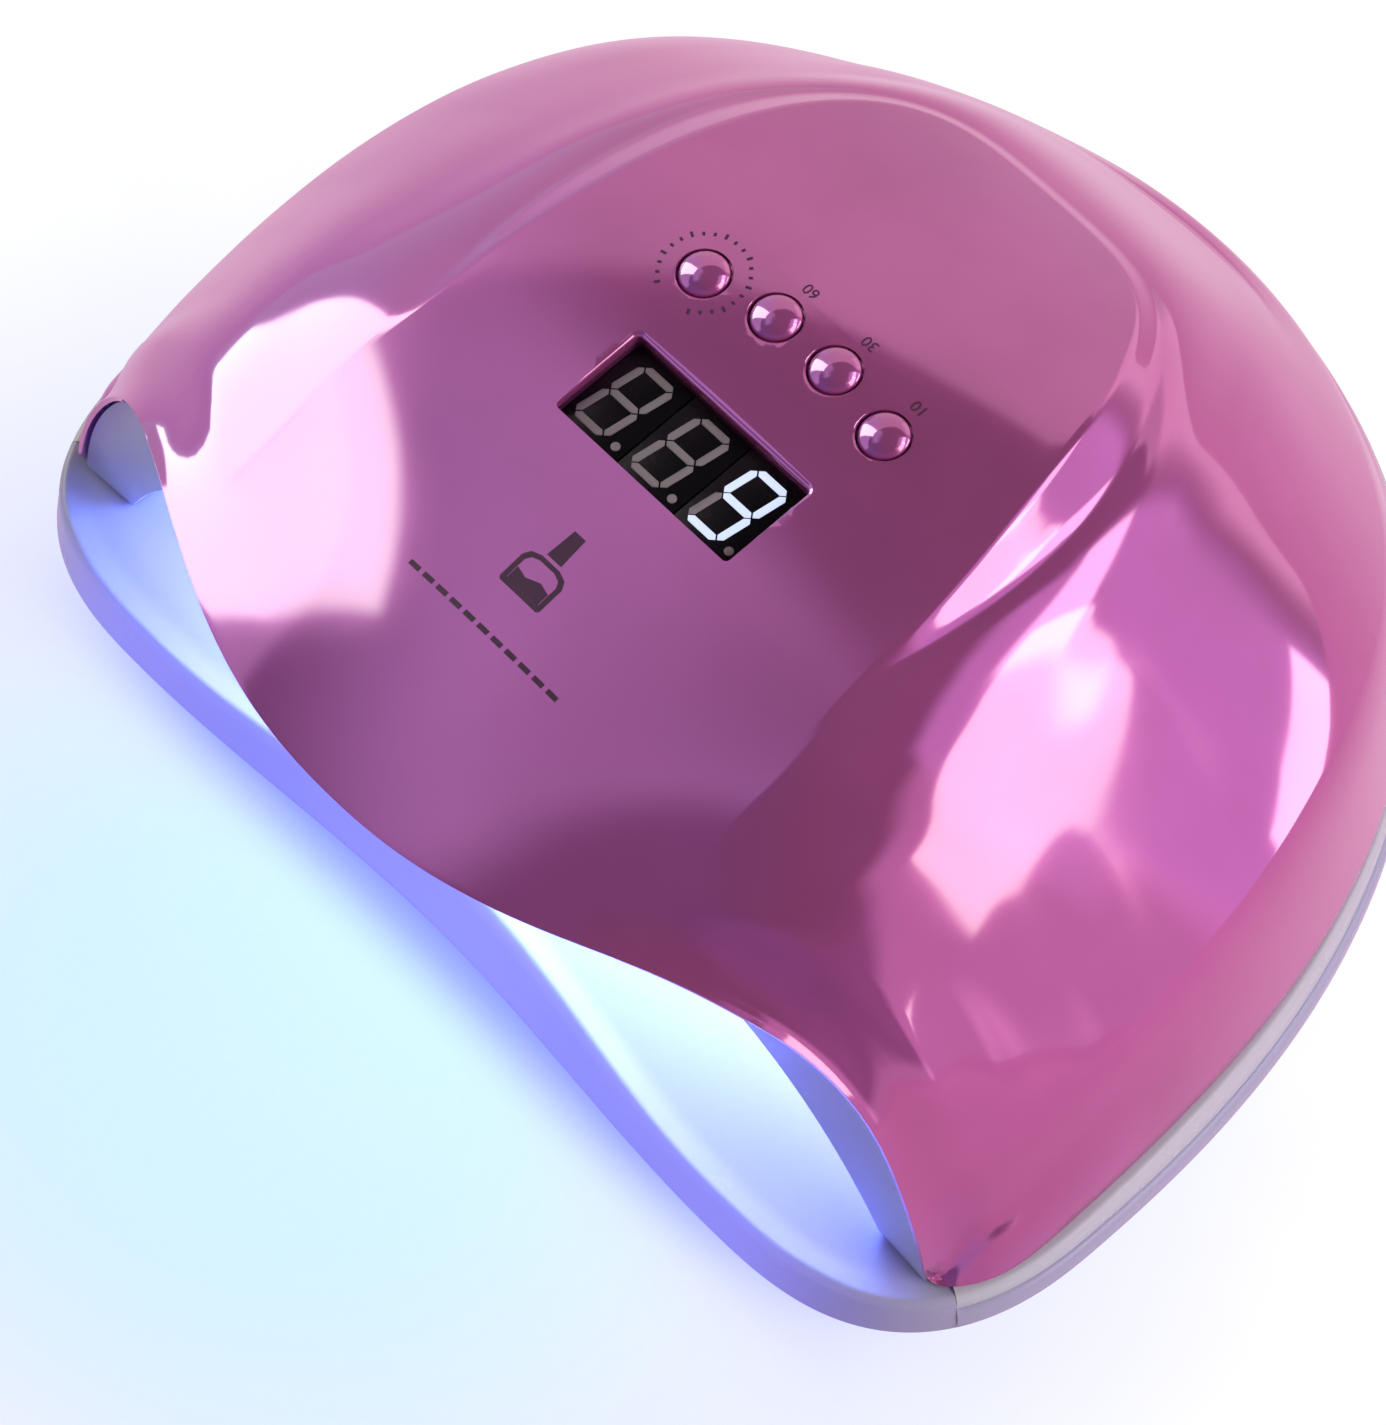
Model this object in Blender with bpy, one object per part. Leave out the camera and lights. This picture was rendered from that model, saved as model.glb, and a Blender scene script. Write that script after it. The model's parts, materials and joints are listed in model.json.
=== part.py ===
"""Nail-curing lamp: a dome that stands over a hand, with a removable base tray.

Frame: +X to the right of a person facing the hand opening, -Y out of the opening, +Z up.
The origin is on the table plane (z = 0), under the middle of the lamp's bounding box. Shapes are
drawn in millimetres from a drawing origin SET_BACK in front of that; main() moves each one back.
"""
import math
from collections import namedtuple

import bmesh
import bpy
import numpy as np
from mathutils import Matrix, Vector

MM = 0.001

# ---------------------------------------------------------------- driving dimensions
GAP = 0.3              # clearance between neighbouring pieces
POLE_Y = -12.0         # crown point of the dome, where the rear sections fan out

# front edge of the shell: a visor between two legs
EDGE_HALF, EDGE_LOW, EDGE_TOP = 98.9, 10.0, 66.7
EDGE_POWER, EDGE_ROOT = 5.0, 0.74
VISOR_Y, LEG_Y = -112.7, -83.5

# base outline: rounded front corners, tapering round back
BASE_HALF, BASE_MID_Y, BASE_BACK, BASE_POWER = 109.0, -58.0, 138.5, 2.3
BASE_FLAT, BASE_FRONT_Y, BASE_BOW = 66.0, -94.6, 3.6
CORNER_X_POWER, CORNER_Y_POWER = 2.8, 2.4

# the drawing origin lies this far in front of the middle of the bounding box
SET_BACK = -0.5 * (VISOR_Y + BASE_MID_Y + BASE_BACK)

# tray and frame heights
TRAY_UNDER, TRAY_RIM_Z, TRAY_TOP_Z, TRAY_LIP_Z = 1.0, 6.0, 8.7, 9.5
FRAME_UNDER_Z, FRAME_LEDGE_Z = TRAY_RIM_Z + GAP, 9.0
FRAME_END_Y = -81.9


# ---------------------------------------------------------------- small maths
def ease(t):
    t = min(max(t, 0.0), 1.0)
    return t * t * (3.0 - 2.0 * t)


def bisect(rising, low, high):
    """Root of a rising function between low and high."""
    for _ in range(48):
        middle = 0.5 * (low + high)
        if rising(middle) < 0.0:
            low = middle
        else:
            high = middle
    return 0.5 * (low + high)


def spread(start, end, steps):
    return [start + (end - start) * i / steps for i in range(steps + 1)]


def both(half):
    return -half, half


def eased_lookup(t, pairs):
    """Smoothly eased value between (t, value) pairs."""
    if t <= pairs[0][0]:
        return pairs[0][1]
    for (t0, value0), (t1, value1) in zip(pairs, pairs[1:]):
        if t <= t1:
            return value0 + (value1 - value0) * ease((t - t0) / (t1 - t0))
    return pairs[-1][1]


def hermite(x, start, end):
    """Cubic between two knots, each (position, height, slope)."""
    (x0, z0, slope0), (x1, z1, slope1) = start, end
    span = x1 - x0
    s = (x - x0) / span
    return ((2 * s ** 3 - 3 * s ** 2 + 1) * z0 + (s ** 3 - 2 * s ** 2 + s) * span * slope0
            + (-2 * s ** 3 + 3 * s ** 2) * z1 + (s ** 3 - s ** 2) * span * slope1)


# ---------------------------------------------------------------- frames
# A frame is (origin, x axis, y axis, z axis).
AXES = ((1.0, 0.0, 0.0), (0.0, 1.0, 0.0), (0.0, 0.0, 1.0))


def frame_point(frame, a, b, c=0.0):
    origin, ex, ey, ez = frame
    return tuple(origin[k] + ex[k] * a + ey[k] * b + ez[k] * c for k in range(3))


def moved(frame, a, b):
    """The same frame with its origin moved within its own plane."""
    return (frame_point(frame, a, b),) + frame[1:]


def upright(x, y, z=0.0):
    return ((x, y, z),) + AXES


# ---------------------------------------------------------------- shape of the dome
# crown line, seen from the side, and its fall to each side
CROWN_Z, CROWN_Y, CROWN_BEND = 87.2, -8.0, 0.00188
CROWN_REAR_Y, CROWN_REAR_BEND = -25.0, 4.1e-5
ACROSS_BEND, ACROSS_FRONT_BEND = 0.0005, 0.0015
ACROSS_FRONT_Y, ACROSS_FRONT_RUN = -55.0, 45.0

# plan of the front edge
EDGE_PLAN_HALF, EDGE_PLAN_POWER, EDGE_PLAN_ROOT = 90.0, 2.2, 1.9

# Guide lines round the dome in plan: behind wide_y each closes in to the centre at back_y.
Guide = namedtuple("Guide", "half wide_y back_y power root")
RIM = Guide(45.5, -40.0, 33.5, 1.3, 0.265)       # edge of the raised panel
CREASE = Guide(66.5, -60.0, 67.0, 1.85, 0.49)    # fold between shoulder and flank
BAND = Guide(99.5, BASE_MID_Y, 74.5, 2.4, 0.5)   # line above the hem
HEM = Guide(106.0, BASE_MID_Y, 78.5, 2.4, 0.5)   # lower edge
PANEL_FLARE, PANEL_FLARE_RUN = 1.5, 30.0         # rim and crease widen towards the front
BAND_FRONT_IN, BAND_FRONT_RUN = 3.1, 25.6
HEM_FRONT_RUN = 25.0

CREASE_Z, CREASE_BACK_Z, CREASE_SPLIT_Y = 74.0, 34.0, -25.0
CREASE_FRONT_DROP, CREASE_FRONT_RUN = 14.0, 65.0
BAND_Z, BAND_FRONT_DROP, BAND_DROP_RUN, BAND_BACK_DROP = 44.5, 22.5, 83.7, 9.5
HEM_RISE, HEM_RISE_RUN = 4.0, 60.0
LEG_ROUND = 3.6        # rounding of each leg's front bottom corner

# raised panel's side step: where it grows and fades along y
STEP_GROW_RUN, STEP_FADE_RUN, STEP_FADE = 62.0, 33.0, 0.72
# (plain value, growth with the step's weight)
STEP_WIDTH, RIM_ROUND, FOOT_ROUND = (1.2, 5.4), (0.5, 0.4), (0.5, 1.0)
STEP_DROP = 5.2
# (value at the front edge, growth over NEAR_T, largest share of the flank's width)
CREASE_ROUND, BAND_ROUND = (1.0, 2.2, 0.3), (0.8, 0.6, 0.25)
NEAR_T = 0.3
BELOW_BAND_SLOPE, HEM_SLOPE = -3.4, -5.5
SLOPE_STEP = 0.05      # reach of the finite difference that gives the panel's slope
EDGE_BLEND_T = 0.16    # sections up to here blend into the front edge
BROW_FLAT, BROW_FADE = 40.0, 26.0

# Slopes of the section at its folds, and place of the flank's middle knot: (section t, value)
STEP_FALL = ((0.0, -0.03), (0.3, -0.12), (0.6, -0.2), (1.0, -0.25), (1.5, -0.4), (2.0, -0.65))
CREASE_IN = ((0.0, -0.49), (0.3, -0.42), (0.6, -0.70), (1.0, -0.80), (1.5, -1.0), (1.8, -1.38),
             (2.0, -1.38))
CREASE_OUT = ((0.0, -0.5), (0.3, -0.7), (0.6, -0.72), (1.0, -0.72), (1.25, -0.8), (1.5, -1.1),
              (1.7, -1.4), (1.85, -1.5), (2.0, -1.36))
BAND_IN = ((0.0, -3.3), (0.3, -1.7), (0.5, -1.5), (0.7, -1.3), (1.0, -1.08), (1.5, -1.4),
           (1.7, -1.7), (1.85, -1.62), (2.0, -1.4))
SCOOP_PLACE = ((0.0, 0.5), (0.3, 0.55), (1.0, 0.55), (2.0, 0.5))

# mesh steps from the crown to the first knot, then between the knots
SPAN_STEPS = (4, 1, 1, 1, 2, 1, 2, 2, 1, 2)


def plateau(x, y):
    """Height of the outer surface inside the raised panel."""
    crown = (CROWN_Z - CROWN_BEND * (y - CROWN_Y) ** 2
             - CROWN_REAR_BEND * max(0.0, y - CROWN_REAR_Y) ** 3)
    bend = ACROSS_BEND + ACROSS_FRONT_BEND * ease((ACROSS_FRONT_Y - y) / ACROSS_FRONT_RUN)
    return crown - bend * x * x


def edge_y(x):
    u = min(abs(x), EDGE_PLAN_HALF) / EDGE_PLAN_HALF
    return LEG_Y + (VISOR_Y - LEG_Y) * (1.0 - u ** EDGE_PLAN_POWER) ** EDGE_PLAN_ROOT


def edge_z(x):
    u = min(abs(x) / EDGE_HALF, 1.0)
    return EDGE_LOW + (EDGE_TOP - EDGE_LOW) * (1.0 - u ** EDGE_POWER) ** EDGE_ROOT


def guide_x(y, guide, front_change):
    """Half width of a guide at y; -1 behind its end, so that a search never stops there."""
    if y > guide.back_y:
        return -1.0
    if y > guide.wide_y:
        u = (y - guide.wide_y) / (guide.back_y - guide.wide_y)
        return guide.half * (1.0 - u ** guide.power) ** guide.root
    return guide.half + front_change(guide.wide_y - y)


def panel_flare(ahead):
    return PANEL_FLARE * ease(ahead / PANEL_FLARE_RUN)


def rim_x(y):
    return guide_x(y, RIM, panel_flare)


def crease_x(y):
    return guide_x(y, CREASE, panel_flare)


def crease_z(y):
    if y > CREASE_SPLIT_Y:
        run = CREASE.back_y - CREASE_SPLIT_Y
        fall = (min(y, CREASE.back_y) - CREASE_SPLIT_Y) ** 3 / run ** 3
        return CREASE_BACK_Z + (CREASE_Z - CREASE_BACK_Z) * (1.0 - fall)
    return CREASE_Z - CREASE_FRONT_DROP * ((CREASE_SPLIT_Y - y) / CREASE_FRONT_RUN) ** 4


def band_x(y):
    return guide_x(y, BAND, lambda ahead: -BAND_FRONT_IN * (ahead / BAND_FRONT_RUN) ** 2)


def band_z(y):
    if y < 0.0:
        return BAND_Z - BAND_FRONT_DROP * (-y / BAND_DROP_RUN) ** 1.7
    turn = math.pi * (min(y, BAND.back_y) / BAND.back_y) ** 1.4
    return BAND_Z - BAND_BACK_DROP * (1.0 - math.cos(turn))


def hem_x(y):
    return guide_x(y, HEM, lambda ahead: -(HEM.half - EDGE_HALF) * (ahead / HEM_FRONT_RUN) ** 4)


def hem_z(y):
    return EDGE_LOW + HEM_RISE * ease((y - LEG_Y) / HEM_RISE_RUN)


def hem_floor(y):
    """Lowest point of the shell's edge: the hem, rounded up to the front edge at the leg tips."""
    d = min(max(LEG_ROUND - (y - LEG_Y), 0.0), LEG_ROUND)
    return hem_z(y) + LEG_ROUND - math.sqrt(LEG_ROUND ** 2 - d ** 2)


def step_weight(y):
    """Height of the side step: nothing at the front, full at y = 0, low at the back."""
    if y < 0.0:
        return ease((y + STEP_GROW_RUN) / STEP_GROW_RUN)
    return 1.0 - STEP_FADE * ease(y / STEP_FADE_RUN)


class Section:
    """One cut through the dome, from crown to hem: t is 0 at the front edge, 1 at the pole and
    2 at the back. Distances r run outwards from the crown."""

    def __init__(self, t):
        self.t = t
        self.angle = 0.5 * math.pi * t
        rim, crease = self.cross(rim_x), self.cross(crease_x)
        band = BAND.half - BAND_FRONT_IN if t <= 0.0 else self.cross(band_x)
        hem = EDGE_HALF if t <= 0.0 else self.cross(hem_x)
        weight = step_weight(self.xy(rim)[1])
        foot, rim_round, foot_round = (
            start + plain + growth * weight for start, (plain, growth) in
            ((rim, STEP_WIDTH), (0.0, RIM_ROUND), (0.0, FOOT_ROUND)))

        rim_z, foot_z = self.top(rim), self.top(foot) - STEP_DROP * weight
        crease_height = crease_z(self.xy(crease)[1])
        band_height = band_z(self.xy(band)[1])
        step_slope = (foot_z - rim_z) / (foot - rim)
        shoulder_slope, crease_in, crease_out, band_in = (
            eased_lookup(t, pairs) for pairs in (STEP_FALL, CREASE_IN, CREASE_OUT, BAND_IN))

        # the flank runs straight, then hollows out: its middle slope follows from its ends
        flank = band - crease
        place = eased_lookup(t, SCOOP_PLACE)
        middle_slope = (2.0 * (band_height - crease_height) / flank
                        - place * crease_out - (1.0 - place) * band_in)
        near = ease(t / NEAR_T)
        crease_round, band_round = (min(plain + growth * near, share * flank)
                                    for plain, growth, share in (CREASE_ROUND, BAND_ROUND))
        start = rim - rim_round
        start_slope = ((self.top(start + SLOPE_STEP) - self.top(start - SLOPE_STEP))
                       / (2 * SLOPE_STEP))

        def beside(r, z, offset, slope):
            return r + offset, z + slope * offset, slope

        # (distance, height, slope)
        self.knots = [
            (start, self.top(start), start_slope),
            beside(rim, rim_z, rim_round, step_slope),
            beside(foot, foot_z, -foot_round, step_slope),
            beside(foot, foot_z, foot_round, shoulder_slope),
            beside(crease, crease_height, -crease_round, crease_in),
            beside(crease, crease_height, crease_round, crease_out),
            (crease + place * flank,
             crease_height + 0.5 * (crease_out + middle_slope) * place * flank, middle_slope),
            beside(band, band_height, -band_round, band_in),
            beside(band, band_height, band_round, BELOW_BAND_SLOPE),
            (hem, hem_z(self.xy(hem)[1]), HEM_SLOPE),
        ]

    def xy(self, r):
        if self.t <= 1.0:
            return r, POLE_Y + (1.0 - self.t) * (edge_y(r) - POLE_Y)
        return r * math.sin(self.angle), POLE_Y - r * math.cos(self.angle)

    def cross(self, guide):
        """Distance at which the section meets a guide line."""
        def beyond(r):
            x, y = self.xy(r)
            return x - guide(y)
        return bisect(beyond, 0.0, 125.0)

    def top(self, r):
        return plateau(*self.xy(r))

    def z(self, r):
        if r <= self.knots[0][0]:
            z = self.top(r)
        else:
            z = self.knots[-1][1]
            for start, end in zip(self.knots, self.knots[1:]):
                if r <= end[0]:
                    z = hermite(r, start, end)
                    break
        own = ease(self.t / EDGE_BLEND_T)
        if own < 1.0:
            z = own * z + (1.0 - own) * edge_z(r)
            brow = 1.0 - ease((r - BROW_FLAT) / BROW_FADE)
            z = brow * self.top(r) + (1.0 - brow) * z
        return z

    def points(self):
        stops = [0.0] + [knot[0] for knot in self.knots]
        distances = [0.0]
        for start, end, steps in zip(stops, stops[1:], SPAN_STEPS):
            distances += spread(start, end, steps)[1:]
        return [(*self.xy(r), self.z(r)) for r in distances]


def shell_z(x, y):
    """Outer height of the shell anywhere behind the front edge."""
    if y <= POLE_Y:
        t = bisect(lambda q: POLE_Y + (1.0 - q) * (edge_y(x) - POLE_Y) - y, 0.0, 1.0)
        return Section(t).z(abs(x))
    angle = math.atan2(abs(x), POLE_Y - y)
    return Section(2.0 * angle / math.pi).z(math.hypot(x, y - POLE_Y))


# ---------------------------------------------------------------- mesh helpers
def shade(mesh, sharp_angle):
    mesh.shade_smooth()
    mesh.set_sharp_from_angle(angle=math.radians(sharp_angle))


def add_object(name, vertices, faces, material=None, sharp_angle=35.0):
    mesh = bpy.data.meshes.new(name)
    mesh.from_pydata([(x * MM, y * MM, z * MM) for x, y, z in vertices], [], faces)
    mesh.update()
    ob = bpy.data.objects.new(name, mesh)
    bpy.context.scene.collection.objects.link(ob)
    bm = bmesh.new()
    bm.from_mesh(mesh)
    bmesh.ops.remove_doubles(bm, verts=bm.verts, dist=1e-6)
    bmesh.ops.recalc_face_normals(bm, faces=bm.faces)
    bm.to_mesh(mesh)
    bm.free()
    if material:
        mesh.materials.append(bpy.data.materials[material])
    shade(mesh, sharp_angle)
    return ob


def sheet(columns, pole):
    """Half sheet from front to back, mirrored in x. Columns from index pole on share their
    first point; first points and the last column lie on the centre line."""
    vertices, index = [], {}
    last = len(columns) - 1

    def vertex(i, j, side):
        centred = j == 0 or i == last
        if j == 0:
            i = min(i, pole)
        if centred:
            side = 1
        key = i, j, side
        if key not in index:
            x, y, z = columns[i][j]
            index[key] = len(vertices)
            vertices.append((0.0 if centred else x * side, y, z))
        return index[key]

    faces = []
    for i in range(last):
        for j in range(len(columns[i]) - 1):
            for side in (1, -1):
                corners = ((i, j), (i, j + 1), (i + 1, j + 1), (i + 1, j))
                face = list(dict.fromkeys(vertex(*corner, side) for corner in corners))
                if len(face) > 2:
                    faces.append(face[::side])
    return vertices, faces


def walled_sheet(name, columns, pole, material, thickness, offset, sharp_angle):
    """Sheet facing up, given a wall inwards (offset -1) or outwards (offset 1)."""
    ob = add_object(name, *sheet(columns, pole), material, sharp_angle)
    bm = bmesh.new()
    bm.from_mesh(ob.data)
    if sum(face.normal.z for face in bm.faces) < 0:
        bmesh.ops.reverse_faces(bm, faces=bm.faces)
    bm.to_mesh(ob.data)
    bm.free()
    wall = ob.modifiers.new("wall", "SOLIDIFY")
    wall.thickness = thickness * MM
    wall.offset = offset
    wall.use_even_offset = True
    wall.use_rim = True
    apply_modifiers(ob)
    return ob


def loft(name, rings, material=None, sharp_angle=35.0):
    """Skin over equal closed rings, capped at both ends."""
    n, last = len(rings[0]), len(rings) - 1
    faces = []
    for i in range(last):
        for j in range(n):
            k = (j + 1) % n
            faces.append((i * n + j, i * n + k, (i + 1) * n + k, (i + 1) * n + j))
    faces.append(tuple(range(n)))
    faces.append(tuple(last * n + j for j in reversed(range(n))))
    return add_object(name, [p for ring in rings for p in ring], faces, material, sharp_angle)


def turned(name, profile, frame, material=None, sides=16):
    """Solid of revolution about the frame's z axis. profile is (radius, height) points;
    radius 0 closes it on the axis."""
    vertices, rows = [], []
    for radius, height in profile:
        if radius <= 1e-9:
            rows.append([len(vertices)] * sides)
            vertices.append(frame_point(frame, 0.0, 0.0, height))
        else:
            rows.append(list(range(len(vertices), len(vertices) + sides)))
            for i in range(sides):
                angle = 2 * math.pi * i / sides
                vertices.append(frame_point(frame, radius * math.cos(angle),
                                            radius * math.sin(angle), height))
    faces = []
    for lower, upper in zip(rows, rows[1:]):
        for i in range(sides):
            j = (i + 1) % sides
            face = list(dict.fromkeys((lower[i], lower[j], upper[j], upper[i])))
            if len(face) > 2:
                faces.append(face)
    return add_object(name, vertices, faces, material)


def cylinder(name, radius, low, high, frame, material=None, sides=16):
    profile = ((0, low), (radius, low), (radius, high), (0, high))
    return turned(name, profile, frame, material, sides)


def block(name, frame, x_range, y_range, z_range, material=None, bevel=0.0):
    """Box between (low, high) on each of the frame's axes."""
    (x0, x1), (y0, y1) = x_range, y_range
    vertices = [frame_point(frame, x, y, z)
                for z in z_range for x, y in ((x0, y0), (x1, y0), (x1, y1), (x0, y1))]
    faces = [(0, 3, 2, 1), (4, 5, 6, 7), (0, 1, 5, 4), (1, 2, 6, 5), (2, 3, 7, 6), (3, 0, 4, 7)]
    ob = add_object(name, vertices, faces, material)
    if bevel:
        edge = ob.modifiers.new("edge", "BEVEL")
        edge.width = bevel * MM
        edge.segments = 1
        edge.limit_method = "ANGLE"
        apply_modifiers(ob)
    return ob


def apply_modifiers(ob):
    """Bakes the object's modifiers into its mesh."""
    depsgraph = bpy.context.evaluated_depsgraph_get()
    depsgraph.update()
    mesh = bpy.data.meshes.new_from_object(ob.evaluated_get(depsgraph))
    old = ob.data
    ob.modifiers.clear()
    ob.data = mesh
    bpy.data.meshes.remove(old)


def joined(parts):
    """Several solids as one helper object."""
    bm = bmesh.new()
    for part in parts:
        bm.from_mesh(part.data)
    mesh = bpy.data.meshes.new("joined_parts")
    bm.to_mesh(mesh)
    bm.free()
    for part in parts:
        bpy.data.objects.remove(part, do_unlink=True)
    ob = bpy.data.objects.new("joined_parts", mesh)
    bpy.context.scene.collection.objects.link(ob)
    ob.hide_render = True
    return ob


def combine(ob, parts, operation):
    """Adds the parts to the object ("UNION") or cuts them out of it ("DIFFERENCE")."""
    helper = joined(parts)
    boolean = ob.modifiers.new(operation.lower(), "BOOLEAN")
    boolean.operation = operation
    boolean.solver = "EXACT"
    boolean.object = helper
    apply_modifiers(ob)
    bpy.data.objects.remove(helper, do_unlink=True)


def tidy(ob, sharp_angle=35.0):
    bm = bmesh.new()
    bm.from_mesh(ob.data)
    bmesh.ops.remove_doubles(bm, verts=bm.verts, dist=2e-6)
    bmesh.ops.dissolve_degenerate(bm, edges=bm.edges, dist=2e-6)
    bmesh.ops.recalc_face_normals(bm, faces=bm.faces)
    bm.to_mesh(ob.data)
    bm.free()
    shade(ob.data, sharp_angle)


# ---------------------------------------------------------------- base outline
def half_outline():
    """Base outline from front centre to back centre on the +X side: distances along it, evenly
    spaced points and outward normals."""
    front_y = BASE_FRONT_Y - BASE_BOW
    points = []
    for i in range(200):
        x = BASE_FLAT * i / 200
        points.append((x, BASE_FRONT_Y - BASE_BOW * ease(x / BASE_FLAT)))
    for i in range(200):
        p = 0.5 * math.pi * i / 200
        across = math.sin(p) ** (2 / CORNER_X_POWER)
        ahead = math.cos(p) ** (2 / CORNER_Y_POWER)
        points.append((BASE_FLAT + (BASE_HALF - BASE_FLAT) * across,
                       BASE_MID_Y - (BASE_MID_Y - front_y) * ahead))
    for i in range(401):
        p = 0.5 * math.pi * i / 400
        points.append((BASE_HALF * max(math.cos(p), 0.0),
                       BASE_MID_Y + BASE_BACK * math.sin(p) ** (2 / BASE_POWER)))
    points = np.array(points)
    travelled = np.r_[0.0, np.cumsum(np.hypot(*np.diff(points, axis=0).T))]
    distance = np.linspace(0.0, travelled[-1], 1601)
    even = np.stack([np.interp(distance, travelled, points[:, k]) for k in range(2)], 1)
    for _ in range(6):
        even[1:-1] = 0.25 * even[:-2] + 0.5 * even[1:-1] + 0.25 * even[2:]
    tangent = np.gradient(even, axis=0)
    tangent[0], tangent[-1] = (1.0, 0.0), (-1.0, 0.0)
    tangent /= np.hypot(*tangent.T)[:, None]
    return distance, even, np.stack([tangent[:, 1], -tangent[:, 0]], 1)


OUTLINE_S, OUTLINE_POINTS, OUTLINE_NORMALS = half_outline()


def outline(s):
    """Point and outward normal at a distance s along the half outline."""
    point, normal = ([float(np.interp(s, OUTLINE_S, values[:, k])) for k in range(2)]
                     for values in (OUTLINE_POINTS, OUTLINE_NORMALS))
    length = math.hypot(*normal)
    return point, (normal[0] / length, normal[1] / length)


def outline_at_y(y):
    """Distance along the half outline at which the side reaches y."""
    widest = np.argmax(OUTLINE_POINTS[:, 0])
    if y < OUTLINE_POINTS[widest, 1]:
        index = np.arange(0, widest + 1)
        index = index[OUTLINE_POINTS[index, 0] > BASE_FLAT]
    else:
        index = np.arange(widest, len(OUTLINE_S))
    return float(np.interp(y, OUTLINE_POINTS[index, 1], OUTLINE_S[index]))


def outline_section(s, section):
    """Section of (inset, height) points, set square to the outline at s."""
    (x, y), (nx, ny) = outline(s)
    return [(x - nx * inset, y - ny * inset, z) for inset, z in section]


def mirrored(columns):
    """The columns on the -X side, in reverse order."""
    return [[(-x, y, z) for x, y, z in column] for column in reversed(columns)]


def rim_stations():
    """Distances along the half outline at which the frame and the tray's ledge are both cut."""
    return spread(outline_at_y(FRAME_END_Y), OUTLINE_S[-1], 25)


# frame's ledge: width at its front ends, then gain and trim, each with where it starts and its run
LEDGE_WIDTH = 12.0
LEDGE_GAIN, LEDGE_GAIN_RUN = 13.0, 24.0
LEDGE_TRIM, LEDGE_TRIM_Y, LEDGE_TRIM_RUN = 3.0, 10.0, 60.0


def ledge_width(y):
    """Width of the frame's ledge, out to the reflector's foot."""
    return (LEDGE_WIDTH + LEDGE_GAIN * ease((y - FRAME_END_Y) / LEDGE_GAIN_RUN)
            - LEDGE_TRIM * ease((y - LEDGE_TRIM_Y) / LEDGE_TRIM_RUN))


def on_ledge(y, inset):
    """Point on the frame's ledge, the given distance inside the outline where it passes y."""
    return outline_section(outline_at_y(y), [(inset, 0.0)])[0][:2]


def both_sides(*points):
    return [(side * x, y) for x, y in points for side in (1, -1)]


# ---------------------------------------------------------------- hardware sizes and places
SCREWS = both_sides(on_ledge(-38.0, 15.0), on_ledge(64.0, 13.5))
MAGNETS = both_sides(on_ledge(-60.0, 15.0), on_ledge(26.0, 14.0))
FEET = both_sides((84.0, -76.0), (58.0, 42.0))
FOOT_R, FOOT_TOP = 6.0, 1.6
MAGNET_R, MAGNET_TOP = 4.0, 7.9
KEEPER_LOW, KEEPER_TOP = 4.2, 5.9
SMALL_CHAMFER = 0.4    # on feet, magnets and keepers

# (radius, z)
SCREW_PROFILE = ((0, 6.5), (2.2, 6.5), (2.8, 7.0), (2.8, 7.6), (1.2, 7.6), (1.2, 18.5), (0, 19.0))
SCREW_HOLE = ((0, 4.0), (3.2, 4.0), (3.2, 7.9), (1.6, 7.9), (1.6, 12.0), (0, 12.0))
POST_R, PILOT_R = 3.0, 1.5
POST_BELOW_SHELL = 0.9

SENSOR_Y, SENSOR_HOLE_R = -76.0, 3.3
SENSOR_PROFILE = ((0, 52.6), (1.6, 52.9), (2.8, 53.9), (2.8, 59.8), (0, 59.8))

JACK_R, JACK_Z, JACK_CLEARANCE = 3.2, 18.2, 0.4
JACK_FRAME = ((0.0, 0.0, JACK_Z), (1.0, 0.0, 0.0), (0.0, 0.0, -1.0), (0.0, 1.0, 0.0))
# (radius, y): pin, socket, barrel, body
JACK_PROFILE = ((0, 74.4), (0.8, 74.0), (0.8, 67.0), (2.8, 67.0), (2.8, 75.6),
                (JACK_R - 0.3, 75.9), (JACK_R, 75.6), (JACK_R, 68.0),
                (4.5, 68.0), (4.5, 58.0), (0, 58.0))

# ---------------------------------------------------------------- control group
# display window and buttons share one tilted plane
TILT = math.radians(5.0)
CONTROL_Y, CONTROL_Z = -42.3, 85.0
CONTROL = ((0.0, CONTROL_Y, CONTROL_Z), (1.0, 0.0, 0.0), (0.0, math.cos(TILT), math.sin(TILT)),
           (0.0, -math.sin(TILT), math.cos(TILT)))
WINDOW_HALF_X, WINDOW_HALF_Y = 18.6, 8.4
COLLAR_WIDTH, COLLAR_DEPTHS = 2.0, (-4.0, -1.2)
# window opening: (depth in the control plane's frame, growth), and its corner radius
WINDOW_RINGS = ((-6.0, 0.0), (-0.9, 0.0), (0.5, 0.9), (3.0, 0.9))
WINDOW_CORNER = 0.8

# (label, x, y)
BUTTONS = (("mode", -19.45, -19.9), ("60", -6.35, -17.5), ("30", 6.35, -17.5), ("10", 19.45, -19.9))
CAP_R, CAP_HOLE_R = 4.0, 4.4
CAP_FOOT, PLUNGER_FOOT = -6.0, -8.7
# (radius, height): dome of the cap, above the shell; then its skirt and stem, in the plane
CAP_DOME = ((0.0, 1.35), (1.6, 1.2), (3.0, 0.65), (CAP_R, -0.6))
CAP_UNDER = ((CAP_R, -2.9), (5.2, -3.0), (5.2, -4.0), (1.5, -4.1), (1.5, CAP_FOOT), (0.0, CAP_FOOT))
CAP_HOLE = ((0, -6.0), (CAP_HOLE_R, -6.0), (CAP_HOLE_R, -0.75), (CAP_HOLE_R + 1.2, 0.45),
            (CAP_HOLE_R + 1.2, 3.0), (0, 3.0))

BOARD_UNDER, BOARD_FACE = -12.9, -11.3
PART_SEAT = BOARD_FACE + GAP       # underside of the parts on the board
HOUSING_TOP = -6.2

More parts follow.
